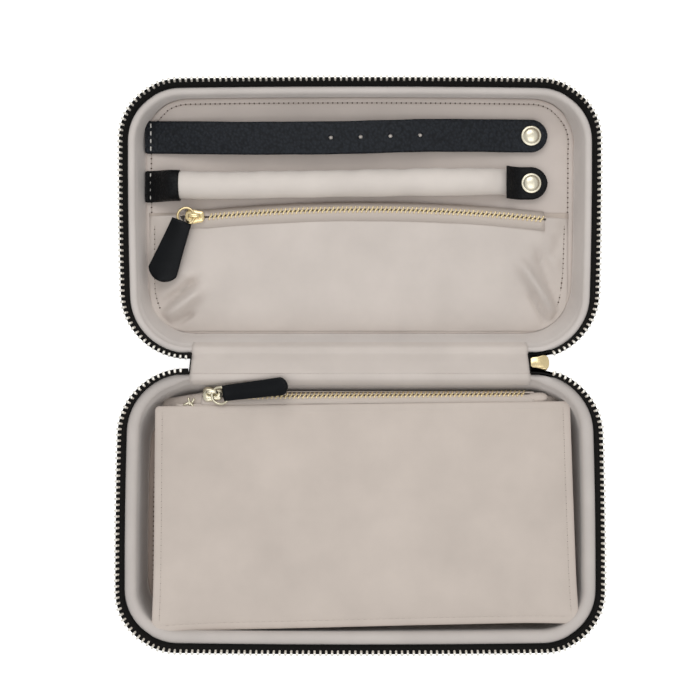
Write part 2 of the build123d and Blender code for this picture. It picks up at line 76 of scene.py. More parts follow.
def softened(p, amount, scale):
    """Small wander of a fabric surface."""
    return noise.noise(Vector(p) * scale) * amount


def smooth_path(points, steps):
    """Catmull-Rom curve through a few points."""
    points = [Vector(p) for p in points]
    ends = [2 * points[0] - points[1]] + points + [2 * points[-1] - points[-2]]
    out = []
    for a, b, c, d in zip(ends, ends[1:], ends[2:], ends[3:]):
        for i in range(steps):
            t = i / steps
            out.append(0.5 * (2 * b + (c - a) * t + (2 * a - 5 * b + 4 * c - d) * t * t
                              + (3 * b - a - 3 * c + d) * t ** 3))
    return out + [points[-1]]


def curve_at(table, x):
    """Smooth value through a table of (x, value)."""
    xs, ys = zip(*table)
    x = clamped(x, xs[0], xs[-1])
    last = len(xs) - 1
    i = max(k for k in range(last) if xs[k] <= x)
    h = xs[i + 1] - xs[i]
    t = (x - xs[i]) / h

    def slope(k):
        return 0.0 if k in (0, last) else (ys[k + 1] - ys[k - 1]) / (xs[k + 1] - xs[k - 1])
    return ((2 * t ** 3 - 3 * t ** 2 + 1) * ys[i] + (t ** 3 - 2 * t ** 2 + t) * h * slope(i)
            + (3 * t ** 2 - 2 * t ** 3) * ys[i + 1] + (t ** 3 - t ** 2) * h * slope(i + 1))


def walk(points):
    """Running length at each point of a path."""
    run = [0.0]
    for a, b in zip(points, points[1:]):
        run.append(run[-1] + (Vector(b) - Vector(a)).length)
    return run


def along(points, run, length):
    """Point and direction at a running length of a path."""
    i = clamped(bisect_left(run, length) - 1, 0, len(points) - 2)
    a, b = Vector(points[i]), Vector(points[i + 1])
    t = (length - run[i]) / max(run[i + 1] - run[i], 1e-9)
    return a.lerp(b, t), (b - a).normalized()


class Seat:
    """A place with its own axes."""

    def __init__(self, origin, x, z):
        self.o = Vector(origin)
        self.x = Vector(x).normalized()
        self.z = Vector(z).normalized()
        self.y = self.z.cross(self.x)

    def at(self, x=0.0, y=0.0, z=0.0):
        return self.o + self.x * x + self.y * y + self.z * z

    def moved(self, x=0.0, y=0.0, z=0.0):
        return Seat(self.at(x, y, z), self.x, self.z)

    def turned(self, about_x=0.0, about_y=0.0, about_z=0.0):
        x, z = self.x, self.z
        for axis, angle in ((self.x, about_x), (self.y, about_y), (self.z, about_z)):
            turn = Matrix.Rotation(radians(angle), 3, axis)
            x, z = turn @ x, turn @ z
        return Seat(self.o, x, z)


# Meshes

def added(name, data):
    """A new object in the scene."""
    made = bpy.data.objects.new(name, data)
    bpy.context.scene.collection.objects.link(made)
    return made


def build(name, points, faces, material, body=None, uvs=None):
    mesh = bpy.data.meshes.new(name)
    mesh.from_pydata([tuple(c * 0.001 for c in p) for p in points], [], faces)
    mesh.validate()
    piece = added(name, mesh)
    mesh.materials.append(material)
    mesh.polygons.foreach_set("use_smooth", [True] * len(mesh.polygons))
    if uvs is not None:
        layer = mesh.uv_layers.new(name="UVMap")
        for loop in mesh.loops:
            layer.data[loop.index].uv = uvs[loop.vertex_index]
    work = bmesh.new()
    work.from_mesh(mesh)
    bmesh.ops.recalc_face_normals(work, faces=work.faces)
    work.to_mesh(mesh)
    work.free()
    if body:
        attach(piece, body)
    return piece


def surface(name, rows, material, body=None, uv=False, close_rows=False,
            close_columns=False, cap_first=False, cap_last=False):
    """A grid of points as a mesh, its rows and columns closed into rings where asked."""
    height, width = len(rows), len(rows[0])
    faces = []
    for i in range(height if close_columns else height - 1):
        for j in range(width if close_rows else width - 1):
            here, below = i * width, ((i + 1) % height) * width
            on = (j + 1) % width
            faces.append((here + j, here + on, below + on, below + j))
    if cap_first:
        faces.append(tuple(range(width))[::-1])
    if cap_last:
        faces.append(tuple(range((height - 1) * width, height * width)))
    uvs = None
    if uv:
        down = walk([row[0] for row in rows])
        uvs = [(across, run) for row, run in zip(rows, down) for across in walk(row)]
    points = [p for row in rows for p in row]
    return build(name, points, faces, material, body, uvs)


def solid(name, rows, material, body=None, node=None, uv=False, cap_first=True):
    """A piece from a stack of rings, closed at its end and, as a rule, at its start."""
    made = surface(name, rows, material, body, uv, close_rows=True, cap_last=True,
                   cap_first=cap_first)
    if node:
        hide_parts(node)
    return made


def add_bar(points, faces, rings):
    """One more small closed bar, from a stack of rings."""
    around = len(rings[0])
    for level in range(len(rings)):
        first = len(points)
        points += rings[level]
        if level:
            for q in range(around):
                on = (q + 1) % around
                faces.append((first - around + q, first - around + on, first + on, first + q))
        if level in (0, len(rings) - 1):
            faces.append(tuple(range(first, first + around)))


def join(pieces, name):
    """One object from several, keeping the first one's material and body."""
    first = pieces[0]
    work = bmesh.new()
    for piece in pieces:
        work.from_mesh(piece.data)
    work.to_mesh(first.data)
    work.free()
    for piece in pieces[1:]:
        bpy.data.objects.remove(piece)
    first.name = name
    return first


def finished(piece):
    """The piece with its modifiers applied."""
    graph = bpy.context.evaluated_depsgraph_get()
    baked = bpy.data.meshes.new_from_object(piece.evaluated_get(graph))
    piece.modifiers.clear()
    piece.data = baked
    return piece


def cloth(name, rows, material, thickness, body=None, node=None, close_rows=False):
    """A piece of cloth, thickened behind its surface."""
    made = surface(name, rows, material, close_rows=close_rows)
    modifier = made.modifiers.new("thick", "SOLIDIFY")
    modifier.thickness = thickness * 0.001
    modifier.offset = -1
    finished(made)
    if body:
        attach(made, body)
    if node:
        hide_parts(node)
    return made


# Materials

def feed(node, **inputs):
    """Set or link a node's inputs, and its settings; in an input's name, _ is a space."""
    for key, value in inputs.items():
        label = key.replace("_", " ")
        if isinstance(value, bpy.types.NodeSocket):
            node.id_data.links.new(value, node.inputs[label])
        elif label in node.inputs:
            node.inputs[label].default_value = value
        else:
            setattr(node, key, value)
    return node


def add_node(tree, kind, **inputs):
    return feed(tree.nodes.new("ShaderNode" + kind), **inputs)


def shader(name, where="Object", **inputs):
    """A material, its Principled node and the coordinates that its patterns follow."""
    material = bpy.data.materials.new(name)
    material.use_nodes = True
    tree = material.node_tree
    bsdf = feed(tree.nodes["Principled BSDF"], **inputs)
    return material, bsdf, add_node(tree, "TexCoord").outputs[where]


def clouds(where, scale, detail=3.0):
    return add_node(where.id_data, "TexNoise", Vector=where, Scale=scale, Detail=detail,
                    Roughness=0.55).outputs["Fac"]


def bands(where, direction, scale, **more):
    return add_node(where.id_data, "TexWave", Vector=where, wave_type="BANDS",
                    bands_direction=direction, Scale=scale, **more).outputs["Fac"]


def tinted(bsdf, factor, colour, first, last, low=0.3, high=0.7):
    """Base colour that runs from colour times first to colour times last."""
    ramp = add_node(bsdf.id_data, "ValToRGB", Fac=factor)
    for element, at, k in zip(ramp.color_ramp.elements, (low, high), (first, last)):
        element.position = at
        element.color = (*[min(c * k, 1.0) for c in colour], 1)
    feed(bsdf, Base_Color=ramp.outputs["Color"])


def varied(bsdf, factor, low, high):
    """Roughness that varies between two values."""
    span = add_node(bsdf.id_data, "MapRange", Value=factor, To_Min=low, To_Max=high)
    feed(bsdf, Roughness=span.outputs["Result"])


def bumped(bsdf, *layers):
    """Chain of bumps, each a height socket with strength and distance in millimetres."""
    for height, strength, distance in layers:
        bump = add_node(bsdf.id_data, "Bump", Height=height, Strength=strength,
                        Distance=distance * 0.001)
        if bsdf.inputs["Normal"].links:
            feed(bump, Normal=bsdf.inputs["Normal"].links[0].from_socket)
        feed(bsdf, Normal=bump.outputs["Normal"])


def srgb(*channels):
    return tuple(c / 12.92 if c <= 0.04045 else ((c + 0.055) / 1.055) ** 2.4
                 for c in [value / 255 for value in channels])


def suede(name, colour):
    material, bsdf, where = shader(name, Roughness=0.88, Sheen_Weight=0.25, Sheen_Roughness=0.45,
                                   Specular_IOR_Level=0.25)
    tinted(bsdf, clouds(where, 38, 4), colour, 0.93, 1.04)
    bumped(bsdf, (clouds(where, 55, 2), 0.25, 0.6), (clouds(where, 3200, 2), 0.35, 0.05))
    return material


def pebbled(name, colour, cell, depth, rough, shine, contrast=1.0):
    material, bsdf, where = shader(name, Specular_IOR_Level=shine)
    tree = material.node_tree
    wobble = add_node(tree, "TexNoise", Vector=where, Scale=400, Detail=2).outputs["Color"]
    warp = add_node(tree, "MixRGB", blend_type="ADD", Fac=0.0012, Color1=where, Color2=wobble)
    distance = add_node(tree, "TexVoronoi", feature="SMOOTH_F1", Scale=1000 / cell,
                        Smoothness=0.35, Vector=warp.outputs["Color"]).outputs["Distance"]
    tinted(bsdf, distance, colour, 1 + 0.25 * contrast, 1 - 0.4 * contrast, 0.2, 0.75)
    varied(bsdf, distance, rough - 0.06, rough + 0.2)
    flip = add_node(tree, "Math", operation="MULTIPLY")
    flip.inputs[1].default_value = -1.0
    tree.links.new(distance, flip.inputs[0])
    bumped(bsdf, (flip.outputs[0], 0.8, depth), (clouds(where, 90), 0.2, 0.3))
    return material


def smooth_leather(name, colour, rough, shine=0.3):
    material, bsdf, where = shader(name, Roughness=rough, Specular_IOR_Level=shine)
    tinted(bsdf, clouds(where, 120, 4), colour, 0.8, 1.3)
    bumped(bsdf, (clouds(where, 900), 0.35, 0.08), (clouds(where, 160, 2), 0.3, 0.25))
    return material


def woven(name, colour, period=0.55, contrast=0.32):
    """Twill tape, from the piece's own UV map in millimetres."""
    material, bsdf, where = shader(name, "UV", Roughness=0.85, Specular_IOR_Level=0.2)
    weave = add_node(material.node_tree, "Math", operation="MULTIPLY")
    for socket, direction, size in zip(weave.inputs, "XY", (period, period * 0.6)):
        wave = bands(where, direction, 0.314 / size, Distortion=0.4, Detail_Scale=2.0)
        material.node_tree.links.new(wave, socket)
    tinted(bsdf, weave.outputs[0], colour, 1 - contrast, 1 + contrast, 0, 1)
    bumped(bsdf, (weave.outputs[0], 0.6, 0.12))
    return material


def metal(name, colour, rough):
    material, bsdf, where = shader(name, Metallic=1.0)
    cloud = clouds(where, 260)
    tinted(bsdf, cloud, colour, 0.94, 1.05)
    varied(bsdf, cloud, rough - 0.06, rough + 0.1)
    bumped(bsdf, (clouds(where, 1500, 2), 0.12, 0.03))
    return material


def thread(name, colour):
    material, bsdf, where = shader(name, Roughness=0.7, Sheen_Weight=0.15)
    twist = bands(where, "DIAGONAL", 900.0)
    tinted(bsdf, twist, colour, 0.75, 1.0, 0, 1)
    bumped(bsdf, (twist, 0.4, 0.06))
    return material


# Lit and shaded copies of one lining suede: the base's copy is darker as painted shade, the lid's
# copy lighter as painted light
lining_cloth = {"base": suede("base_suede_painted_shade", srgb(198, 191, 186)),
                "lid": suede("lid_suede_painted_light", srgb(209, 202, 197))}
# Lit and shaded copies of one floor panel suede: the base's is darker, painted shade of the gap
# round the pouch; the lid's is lighter, painted light
panel_cloth = {"base": suede("floor_suede_painted_shade", srgb(182, 166, 156)),
               "lid": suede("panel_suede_painted_light", srgb(207, 197, 190))}
roll_cloth = suede("roll_suede", srgb(216, 208, 201))
pocket_cloth = suede("pocket_suede", srgb(207, 198, 191))
# Darker suede for the pocket's backing: painted shade of the roll above it
backing_cloth_painted_shade = suede("backing_suede_painted_shade", srgb(198, 186, 176))
pouch_cloth = suede("pouch_suede", srgb(201, 190, 181))
spine_cloth = suede("spine_suede", srgb(206, 197, 190))
cover_leather = pebbled("cover_leather", srgb(199, 189, 182), 0.9, 0.1, 0.5, 0.35, contrast=0.16)
strap_leather = pebbled("strap_leather", srgb(25, 29, 35), 1.25, 0.34, 0.4, 0.18)
sleeve_leather = pebbled("sleeve_leather", srgb(15, 16, 18), 1.1, 0.2, 0.38, 0.14)
pull_leather = smooth_leather("pull_leather", srgb(11, 13, 16), 0.34, 0.12)
strap_edge = smooth_leather("strap_edge", srgb(10, 11, 12), 0.5, 0.1)
# Dark brown discs at the stitches: painted shade inside the needle holes
needle_hole_painted_shade = smooth_leather("needle_hole_painted_shade", srgb(92, 80, 72), 0.8)
black_tape = woven("black_tape", srgb(15, 14, 13))
beige_tape = woven("beige_tape", srgb(206, 195, 186), 0.45, 0.08)
# Darker tape for the pocket's upper tape: painted shade of the roll above it, not a tape of
# another colour
upper_tape_painted_shade = woven("upper_tape_painted_shade", srgb(184, 169, 156), 0.45, 0.08)
gold = metal("gold", (0.82, 0.67, 0.38), 0.2)
cap_gold = metal("cap_gold", (0.80, 0.75, 0.60), 0.3)
pale_gold = metal("pale_gold", (0.72, 0.67, 0.52), 0.24)
tooth_metal = metal("tooth_metal", (0.96, 0.93, 0.86), 0.42)
chain_gold = metal("chain_gold", (0.86, 0.72, 0.44), 0.3)
white_thread = thread("white_thread", srgb(228, 226, 220))
beige_thread = thread("beige_thread", srgb(188, 177, 168))
pouch_thread = thread("pouch_thread", srgb(198, 187, 178))


# Kinds of stitch, as length, gap, thread radius, radius of the dark disc painted as needle hole
# shade, thread
lining_stitch = 1.3, 0.95, 0.2, 0.42, beige_thread
leather_stitch = 2.1, 0.85, 0.32, 0.0, white_thread
pouch_stitch = 1.9, 0.9, 0.12, 0.17, pouch_thread
fine_stitch = 1.9, 0.9, 0.1, 0.0, pouch_thread


def stitches(name, points, length, gap, radius, holes, material, slot, body):
    """Row of thread stitches that lie on a path, each a small rod pressed in at its ends, with
    dark discs between them, where holes is set, as painted shade of the needle holes.
    """
    up = Vector((0, 0, 1))
    run = walk(points)
    count = max(int(run[-1] / (length + gap)), 1)
    pitch = run[-1] / count
    verts, faces, hole_verts, hole_faces = [], [], [], []
    for n in range(count):
        middle, way = along(points, run, (n + 0.5) * pitch)
        aside = way.cross(up).normalized()
        rings = []
        for s, fat, dip in ((-0.5, 0.45, 1.3), (-0.38, 1, 0.35), (0, 1, 0), (0.38, 1, 0.35),
                            (0.5, 0.45, 1.3)):
            centre = middle + way * (s * length) - up * (dip * radius)
            rings.append([centre + (aside * c + up * s) * (fat * radius) for c, s in circle(6)])
        add_bar(verts, faces, rings)
        if holes:
            spot = middle + way * (pitch / 2) + up * 0.02
            first = len(hole_verts)
            hole_verts += [spot + (aside * c + way * s) * holes for c, s in circle(8)]
            hole_verts.append(spot + up * 0.05)
            hole_faces += [(first + q, first + (q + 1) % 8, first + 8) for q in range(8)]
    build(name, verts, faces, material, body)
    if holes:
        build(name + "_holes", hole_verts, hole_faces, needle_hole_painted_shade, body)


# Trays: the base lies at y below 0 and the lid above, as (side, rim height)
trays = {"base": (-1, 28.0), "lid": (1, 20.0)}
near_half_width, far_half_width = 102.5, 104.2
spine_gap, far_edge = 4.1, 123.6
near_radius, far_radius = 26.0, 23.0
side_draft, hinge_draft, far_draft = 0.12, 0.36, 0.02
edge_radius = 5.0
panel_foot = 3.2
# Along the hinge, where |y| is below hinge_reach, the tape and the chain are open
hinge_reach = 9.0
tape_opening, chain_opening = (-74.4, 75.5), (-75.0, 60.0)
low_tape_x, low_tape_height = 85.0, 1.9
chain_rise, chain_lean = 5.73, 3.0
tooth_pitch, first_tooth_x = 2.56, 85.5
# Profiles of the lining's roll over the rim, as (inset from the rim, height over it)
roll_over = {
    "base": [(0.8, -1.5), (0.7, 0.0), (0.45, 0.7), (0.25, 1.1), (0.5, 1.35), (1.1, 1.5),
             (2.0, 1.5), (3.0, 1.3), (3.9, 0.85), (4.7, 0.1), (5.1, -0.9), (5.2, -2.2)],
    "lid": [(0.8, -1.5), (0.7, 0.0), (0.45, 0.7), (0.25, 1.1), (0.45, 1.3), (0.9, 1.4),
            (1.5, 1.3), (2.1, 1.05), (2.7, 0.6), (3.1, 0.0), (3.3, -0.8), (3.4, -1.8)],
    "spine": [(0.8, -1.5), (0.8, -0.9), (0.8, -0.5), (0.9, -0.25), (1.1, -0.1), (1.4, 0.0),
              (1.8, 0.05), (2.2, 0.0), (2.6, -0.15), (3.0, -0.5), (3.2, -1.0), (3.2, -1.8)]}
# Section of the rim's tape: up the inner side, round a corded edge, down the outer side
tape_section = [(-1.7, 0.8), (0.2, 0.8), (1.8, 0.8), (3.0, 0.8), (3.4, 0.95), (3.8, 1.2),
                (4.2, 1.35), (4.65, 1.2), (4.93, 0.75), (5.0, 0.2), (4.93, -0.35), (4.65, -0.8),
                (4.2, -0.95), (3.75, -0.75), (3.3, -0.25), (2.8, 0.0), (1.8, 0.0), (0.2, 0.0),
                (-1.7, 0.0)]
# Floor panel, from its edge inwards, as (inset, height); the dip is its seam
panel_section = [(3.45, 3.6), (3.5, 4.3), (3.8, 4.68), (4.5, 4.82), (5.3, 4.78), (5.8, 4.6),
                 (6.1, 4.52), (6.4, 4.6), (6.9, 4.78), (8, 4.84), (12, 4.8), (20, 4.74),
                 (32, 4.7), (46, 4.7)]
# One tooth from its foot to its tip, as (height, half width, half depth)
tooth_section = [(-2.3, 0.5, 0.8), (-2.1, 0.57, 0.92), (-1.2, 0.57, 0.92), (-0.95, 0.5, 0.86),
                 (-0.7, 0.55, 0.9), (-0.12, 0.54, 0.88), (0.0, 0.44, 0.76)]


def corner_arc(before, here, after, radius, steps=16):
    here = Vector(here)
    back = (Vector(before) - here).normalized()
    on = (Vector(after) - here).normalized()
    half = back.angle(on) / 2
    centre = here + (back + on).normalized() * (radius / sin(half))
    first, last = [here + way * (radius / tan(half)) - centre for way in (back, on)]
    start, end = atan2(first.y, first.x), atan2(last.y, last.x)
    if end < start:
        end += tau
    return [centre + Vector((cos(turn), sin(turn))) * radius
            for turn in spaced(start, end, steps + 1)]


def outline(side, rim, height, inset=0.0, flare=0.0, lift=None):
    """Plan outline of a tray, counted so that equal indices match between heights."""
    drop = rim - min(height, rim)
    grow = chain_lean * flare - inset
    near_x = near_half_width - side_draft * drop + grow
    far_x = far_half_width - side_draft * drop + grow
    near = spine_gap + hinge_draft * drop + inset - chain_lean / 2 * flare
    far = far_edge - far_draft * drop + grow
    radii = [max(radius + grow, 1.0) for radius in (near_radius, far_radius)]
    corners = [(near_x, near), (far_x, far), (-far_x, far), (-near_x, near)]
    arcs = [corner_arc(corners[k - 1], corners[k], corners[(k + 1) % 4], radii[k in (1, 2)])
            for k in range(4)]
    middle = (arcs[3][-1] + arcs[0][0]) / 2
    path = [middle.lerp(arcs[0][0], i / 60) for i in range(60)] + arcs[0]
    for k, count in ((1, 30), (2, 60), (3, 30)):
        start, end = arcs[k - 1][-1], arcs[k][0]
        path += [start.lerp(end, i / count) for i in range(1, count)] + arcs[k]
    path += [arcs[3][-1].lerp(middle, i / 60) for i in range(1, 60)]
    z = height if lift is None else lift
    middle_y, half_y = (near + far) / 2, (far - near) / 2
    out = []
    for p in path:
        t, s = (p.y - middle_y) / half_y, p.x / far_x
        bow_x = 0.9 * (1 - t * t) * min(abs(p.x) / (near_x - 3), 1) ** 6
        bow_y = 1.0 - s * s if p.y > far - 3 else 0.0
        out.append(Vector((p.x + copysign(bow_x, p.x), side * (p.y + bow_y), z)))
    return out


def beside_spine(p, side):
    """1 along the spine, 0 elsewhere round the rim."""
    return clamped((16 - side * p.y) / 5) * clamped((82 - abs(p.x)) / 5)


def far_end(p, half):
    """1 at the far side of the lid, where its wall bulges out, 0 elsewhere."""
    return 0.0 if half == "base" else eased((p.y - 96) / 20)


def along_hinge(p, opening):
    return abs(p.y) < hinge_reach and opening[0] < p.x < opening[1]


def bulged(half, side, rim, z, inset, bulge, lift=None):
    """Outline inside a tray, moved out at the lid's far side."""
    full = outline(side, rim, z, inset, lift=lift)
    wide = outline(side, rim, z, inset - bulge, lift=lift)
    return [p.lerp(w, far_end(p, half)) for p, w in zip(full, wide)]


def floor_row(half, side, rim, inset, z):
    """Plan line of the floor panel, which is thicker towards the lid's far side."""
    row = bulged(half, side, rim, panel_foot, inset, 1.6, lift=z)
    if half == "lid":
        for p in row:
            p.z += 2.6 * eased((p.y - 111.5) / 7)
    return row


def tray_cover(half, side, rim):
    """From the rim's seat round the bottom edge to the flat underside."""
    wall_top = rim - 1.6
    rows = [outline(side, rim, rim - 0.5, 0.75), outline(side, rim, rim - 0.1, 0.35),
            outline(side, rim, rim - 0.4)]
    for z in spaced(wall_top, edge_radius, 12):
        puff = 0.35 * sin(pi * (z - edge_radius) / (wall_top - edge_radius))
        rows.append(outline(side, rim, z, -puff))
    for step in range(1, 9):
        turn = radians(90 * step / 8)
        rows.append(outline(side, rim, edge_radius * (1 - sin(turn)),
                            edge_radius * (1 - cos(turn))))
    rows += [outline(side, rim, 0.0, inset) for inset in (9, 16, 26, 38, 48)]
    cover = solid(f"{half}_outer", rows, cover_leather, half, cap_first=False)
    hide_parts(f"{half}_cover", f"{half}_core")


def tray_lining(half, side, rim):
    """Padding rolled over the rim, down the wall and under the floor panel."""
    rows = []
    for (inset, z), (low_inset, low_z) in zip(roll_over[half], roll_over["spine"]):
        full = outline(side, rim, rim, inset, lift=rim + z)
        low = outline(side, rim, rim, low_inset, lift=rim + low_z)
        rows.append([p.lerp(q, beside_spine(p, side)) for p, q in zip(full, low)])
    rolled = len(rows)
    top_inset, foot_inset = roll_over[half][-1][0], 3.3
    wall_top, wall_foot = rim - 1.8, 5.6
    for step in range(1, 12):
        t = step / 11
        z = wall_top + (wall_foot - wall_top) * t
        inset = foot_inset + (top_inset - foot_inset) * (1 - t) ** 1.5
        full = outline(side, rim, z, inset)
        low = outline(side, rim, z, 3.2 + 0.4 * sin(pi * t))
        wide = outline(side, rim, z, inset - 1.5)
        rows.append([p.lerp(q, beside_spine(p, side)).lerp(w, t * far_end(p, half))
                     for p, q, w in zip(full, low, wide)])
    for inset, z in ((3.5, 4.5), (4.2, 3.7), (5.4, 3.3), (12, 3.25)):
        rows.append(bulged(half, side, rim, z, inset, 1.5))
    for row in rows[rolled:]:
        for k, p in enumerate(row):
            row[k] = p + Vector((softened(p, 0.35, 0.03) * copysign(1, -p.x), 0, 0))
    lining = surface(f"{half}_padding", rows, lining_cloth[half], half,
                     close_rows=True)
    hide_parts(f"{half}_lining")


def tray_panel(half, side, rim):
    """Stitched floor panel, its middle a little uneven."""
    rows = [floor_row(half, side, rim, inset, z) for inset, z in panel_section]
    for row in rows[9:]:
        for p in row:
            p.z += softened(p, 0.18, 0.05)
    panel = solid(f"{half}_panel", rows, panel_cloth[half], half,
                  f"{half}_floor_panel", cap_first=False)
    seam = floor_row(half, side, rim, 6.1, 4.62)
    stitches(f"{half}_panel_stitches", seam + seam[:1], *lining_stitch, "panel", half)


def rim_tape(half, side, rim):
    """Open beside the spine, and low where the slider closes it."""
    reference = outline(side, rim, rim)
    order = [i for i, p in enumerate(reference) if not along_hinge(p, tape_opening)]
    low_end = [along_hinge(p, (0, low_tape_x)) for p in reference]
    rings = []
    for height, inset in tape_section:
        tall, short = [outline(side, rim, rim, inset, max(h, 0) / chain_rise, lift=rim + h)
                       for h in (height, min(height, low_tape_height))]
        rings.append([short[i] if low_end[i] else tall[i] for i in order])
    solid(f"{half}_tape", [list(ring) for ring in zip(*rings)], black_tape, half,
          f"{half}_zip_tape", uv=True)


def rim_teeth(half, side, rim):
    """Teeth crimped on the corded edge. Those of the lid stand between those of the base."""
    chain = outline(side, rim, rim, 0.0, 1.0, lift=rim + chain_rise)
    chain = [p for p in chain if not along_hinge(p, chain_opening)]
    run = walk(chain)
    start = next(run[i] + (first_tooth_x - chain[i].x) for i in range(len(chain) - 1)
                 if chain[i].x <= first_tooth_x <= chain[i + 1].x)
    verts, faces = [], []
    for n in range(int((run[-1] - start) / tooth_pitch)):
        step = n if half == "base" else n + 0.5
        point, way = along(chain, run, start + step * tooth_pitch)
        outward = Vector((way.y, -way.x, 0)) * side
        facing = max(-side * outward.y, 0.0) ** 2
        lean = chain_lean - chain_lean / 2 * facing
        slope = Vector((outward.x * lean, outward.y * lean, chain_rise)).normalized()
        tip = point + slope * (0.3 - 0.4 * facing)
        across = slope.cross(way).normalized()
        add_bar(verts, faces, [[tip + way * (x * half_x) + across * (y * half_y) + slope * z
                                for x, y in boxy(8, 1.6, 0.5)]
                               for z, half_x, half_y in tooth_section])
    teeth = build(f"{half}_teeth", verts, faces, tooth_metal, half)
    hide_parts(f"{half}_zip_teeth")


for half, (side, rim) in trays.items():
    for part in (tray_cover, tray_lining, tray_panel, rim_tape, rim_teeth):
        part(half, side, rim)


# Spine: cloth from each tray's wall that meets on the leather between the two folds
base_fold, lid_fold = Vector((0, -spine_gap, 28.0)), Vector((0, spine_gap, 20.0))
spine_half_width = 75.7


def spine_half(name, path):
    profile = smooth_path([(0, y, z) for y, z in path], 5)
    profile[-1:-1] = [profile[-1].lerp(profile[-2], 0.05)]
    rows = [[Vector((x, p.y, p.z + softened((x, p.y * 3, p.z), 0.25, 0.045)))
             for x in spaced(-spine_half_width, spine_half_width, 90)] for p in profile]
    made = cloth(name, rows, spine_cloth, 0.7)
    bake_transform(made)
    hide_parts("spine_lining")


spine_half("spine_cloth_base", [(-9.7, 22.6), (-8.6, 25.6), (-7.4, 27.5), (-5.9, 28.25),
                                (-4.3, 28.2), (-2.2, 26.6), (0.6, 24.2)])
spine_half("spine_cloth_lid", [(-1.4, 25.35), (0.6, 24.2), (2.6, 22.35), (4.4, 20.7),
                               (6.0, 20.25), (7.4, 19.5), (8.5, 17.6), (9.6, 14.6)])

# leather under the cloth, as (run from fold to fold, depth), lapping both walls when closed
down = (lid_fold - base_fold).normalized()
out = Vector((0, -down.z, down.y))
leather_profile = [(-0.5, -0.2), (0, -0.62), (0.6, -0.92), (2, -1.02), (5.7, -1.05),
                   (9.4, -1.02), (10.8, -0.92), (11.4, -0.62), (11.9, -0.2)]
rows = []
for x in spaced(0.1 - spine_half_width, spine_half_width - 0.1, 80):
    wander = softened((x, 0, 3), 0.08, 0.06)
    loop = [(s, o + wander) for s, o in leather_profile]
    loop += [(s, o + 0.35) for s, o in leather_profile[::-1]]
    rows.append([Vector((x, 0, 0)) + base_fold + down * s + out * o for s, o in loop])
solid("spine_leather", rows, cover_leather, "spine", "spine_cover")

edge = smooth_path([(0, -4.4, 27.75), (0, -2.9, 26.9), (0, 0.6, 24.0), (0, 3.0, 21.8),
                    (0, 4.4, 20.6)], 4)
for name, x0, x1 in (("left", -75.95, -75.45), ("right", 75.35, 76.0)):
    solid(f"spine_edge_{name}", [[Vector((x, p.y, p.z + dz)) for x, dz in
                                  ((x0, -0.2), (x1, -0.2), (x1, 0.65), (x0, 0.65))]
                                 for p in edge], black_tape, "spine", uv=True)


# Zipper sliders, wire rings and leather pulls

def slider(name, seat, length, material, body, node):
    """Two plates with folded edges, a post between them and a bridge over the top one."""
    half = length / 2
    plan = [(-half, 0.9), (-half + 0.35, 2.3), (-half + 1.3, 3.2), (-half + 2.6, 3.3),
            (-0.2, 2.9), (1.8, 2.45), (half - 0.7, 2.35), (half, 1.7)]
    ring = plan + [(x, -y) for x, y in plan[::-1]]
    parts = []
    for low, high, crown in ((1.3, 2.15, 0.105), (-2.15, -1.3, 0)):
        parts.append([[seat.at(x * kx, y * ky, z) for x, y in ring] for kx, ky, z in
                      ((0.97, 0.95, low), (1, 1, low + 0.12), (1, 1, high - 0.2),
                       (0.95, 0.92, high), (0.6, 0.6, high + crown))])
    for sign in (-1, 1):
        parts.append([[seat.at(x, sign * (y + out), z) for out, z in
                       ((0, 0.75), (0, 1.45), (0.35, 1.45), (0.35, 0.75))] for x, y in
                      ((-half + 1.6, 3.1), (-0.2, 2.78), (1.8, 2.32), (half - 0.8, 2.2))])
    parts.append([[seat.at(-half + 2.6 + dx, dy, z) for dx, dy in
                   ((-0.9, -0.25), (0.9, -0.25), (0.9, 0.25), (-0.9, 0.25))]
                  for z in (-1.35, 1.35)])
    arch = smooth_path([(-2.45, 0, 1.9), (-2.4, 0, 3.6), (-2.2, 0, 4.9), (-1.2, 0, 5.55),
                        (1.2, 0, 5.55), (2.2, 0, 4.9), (2.4, 0, 3.6), (2.45, 0, 1.9)], 4)
    bridge = []
    for i, p in enumerate(arch):
        way = (arch[min(i + 1, len(arch) - 1)] - arch[max(i - 1, 0)]).normalized()
        bridge.append([seat.at(p.x - way.z * 0.38 * s, 0.78 * c, p.z + way.x * 0.38 * s)
                       for c, s in boxy(10, 1.2)])
    parts.append(bridge)
    made = join([solid(name + "_part", rows, material) for rows in parts], name)
    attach(made, body)
    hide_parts(node)
    edges = made.modifiers.new("edges", "BEVEL")
    edges.width = 0.00012
    edges.segments = 2
    edges.limit_method = "ANGLE"
    edges.angle_limit = radians(40)


def wire_ring(name, seat, material, body, node, radius=3.8, wire=0.58):
    rows = [[seat.at(radius - (radius + wire * c) * along_x, (radius + wire * c) * along_y,
                     wire * s) for c, s in circle(12)] for along_x, along_y in circle(48)]
    made = surface(name, rows, material, body, close_rows=True, close_columns=True)
    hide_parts(node)


def rounded_section(half_width, half_height, crown, corner, count=7):
    """Closed outline of a strap: flat faces, round edges, top face crowned."""
    corner = min(corner, half_width * 0.98)
    flat = half_width - corner
    out = []
    for sign, start in ((1, 0), (-1, 90), (-1, 180), (1, 270)):
        turns = [radians(start + 90 * i / (count - 1)) for i in range(count)]
        out += [(sign * flat + corner * cos(turn), half_height * sin(turn))
                for turn in turns]
        if start == 0:
            out += [(t * flat, half_height + crown * (1 - (t * flat / half_width) ** 2))
                    for t in (0.6, 0.2, -0.2, -0.6)]
        if start == 180:
            out += [(t * flat, -half_height) for t in (-0.6, -0.2, 0.2, 0.6)]
    return out


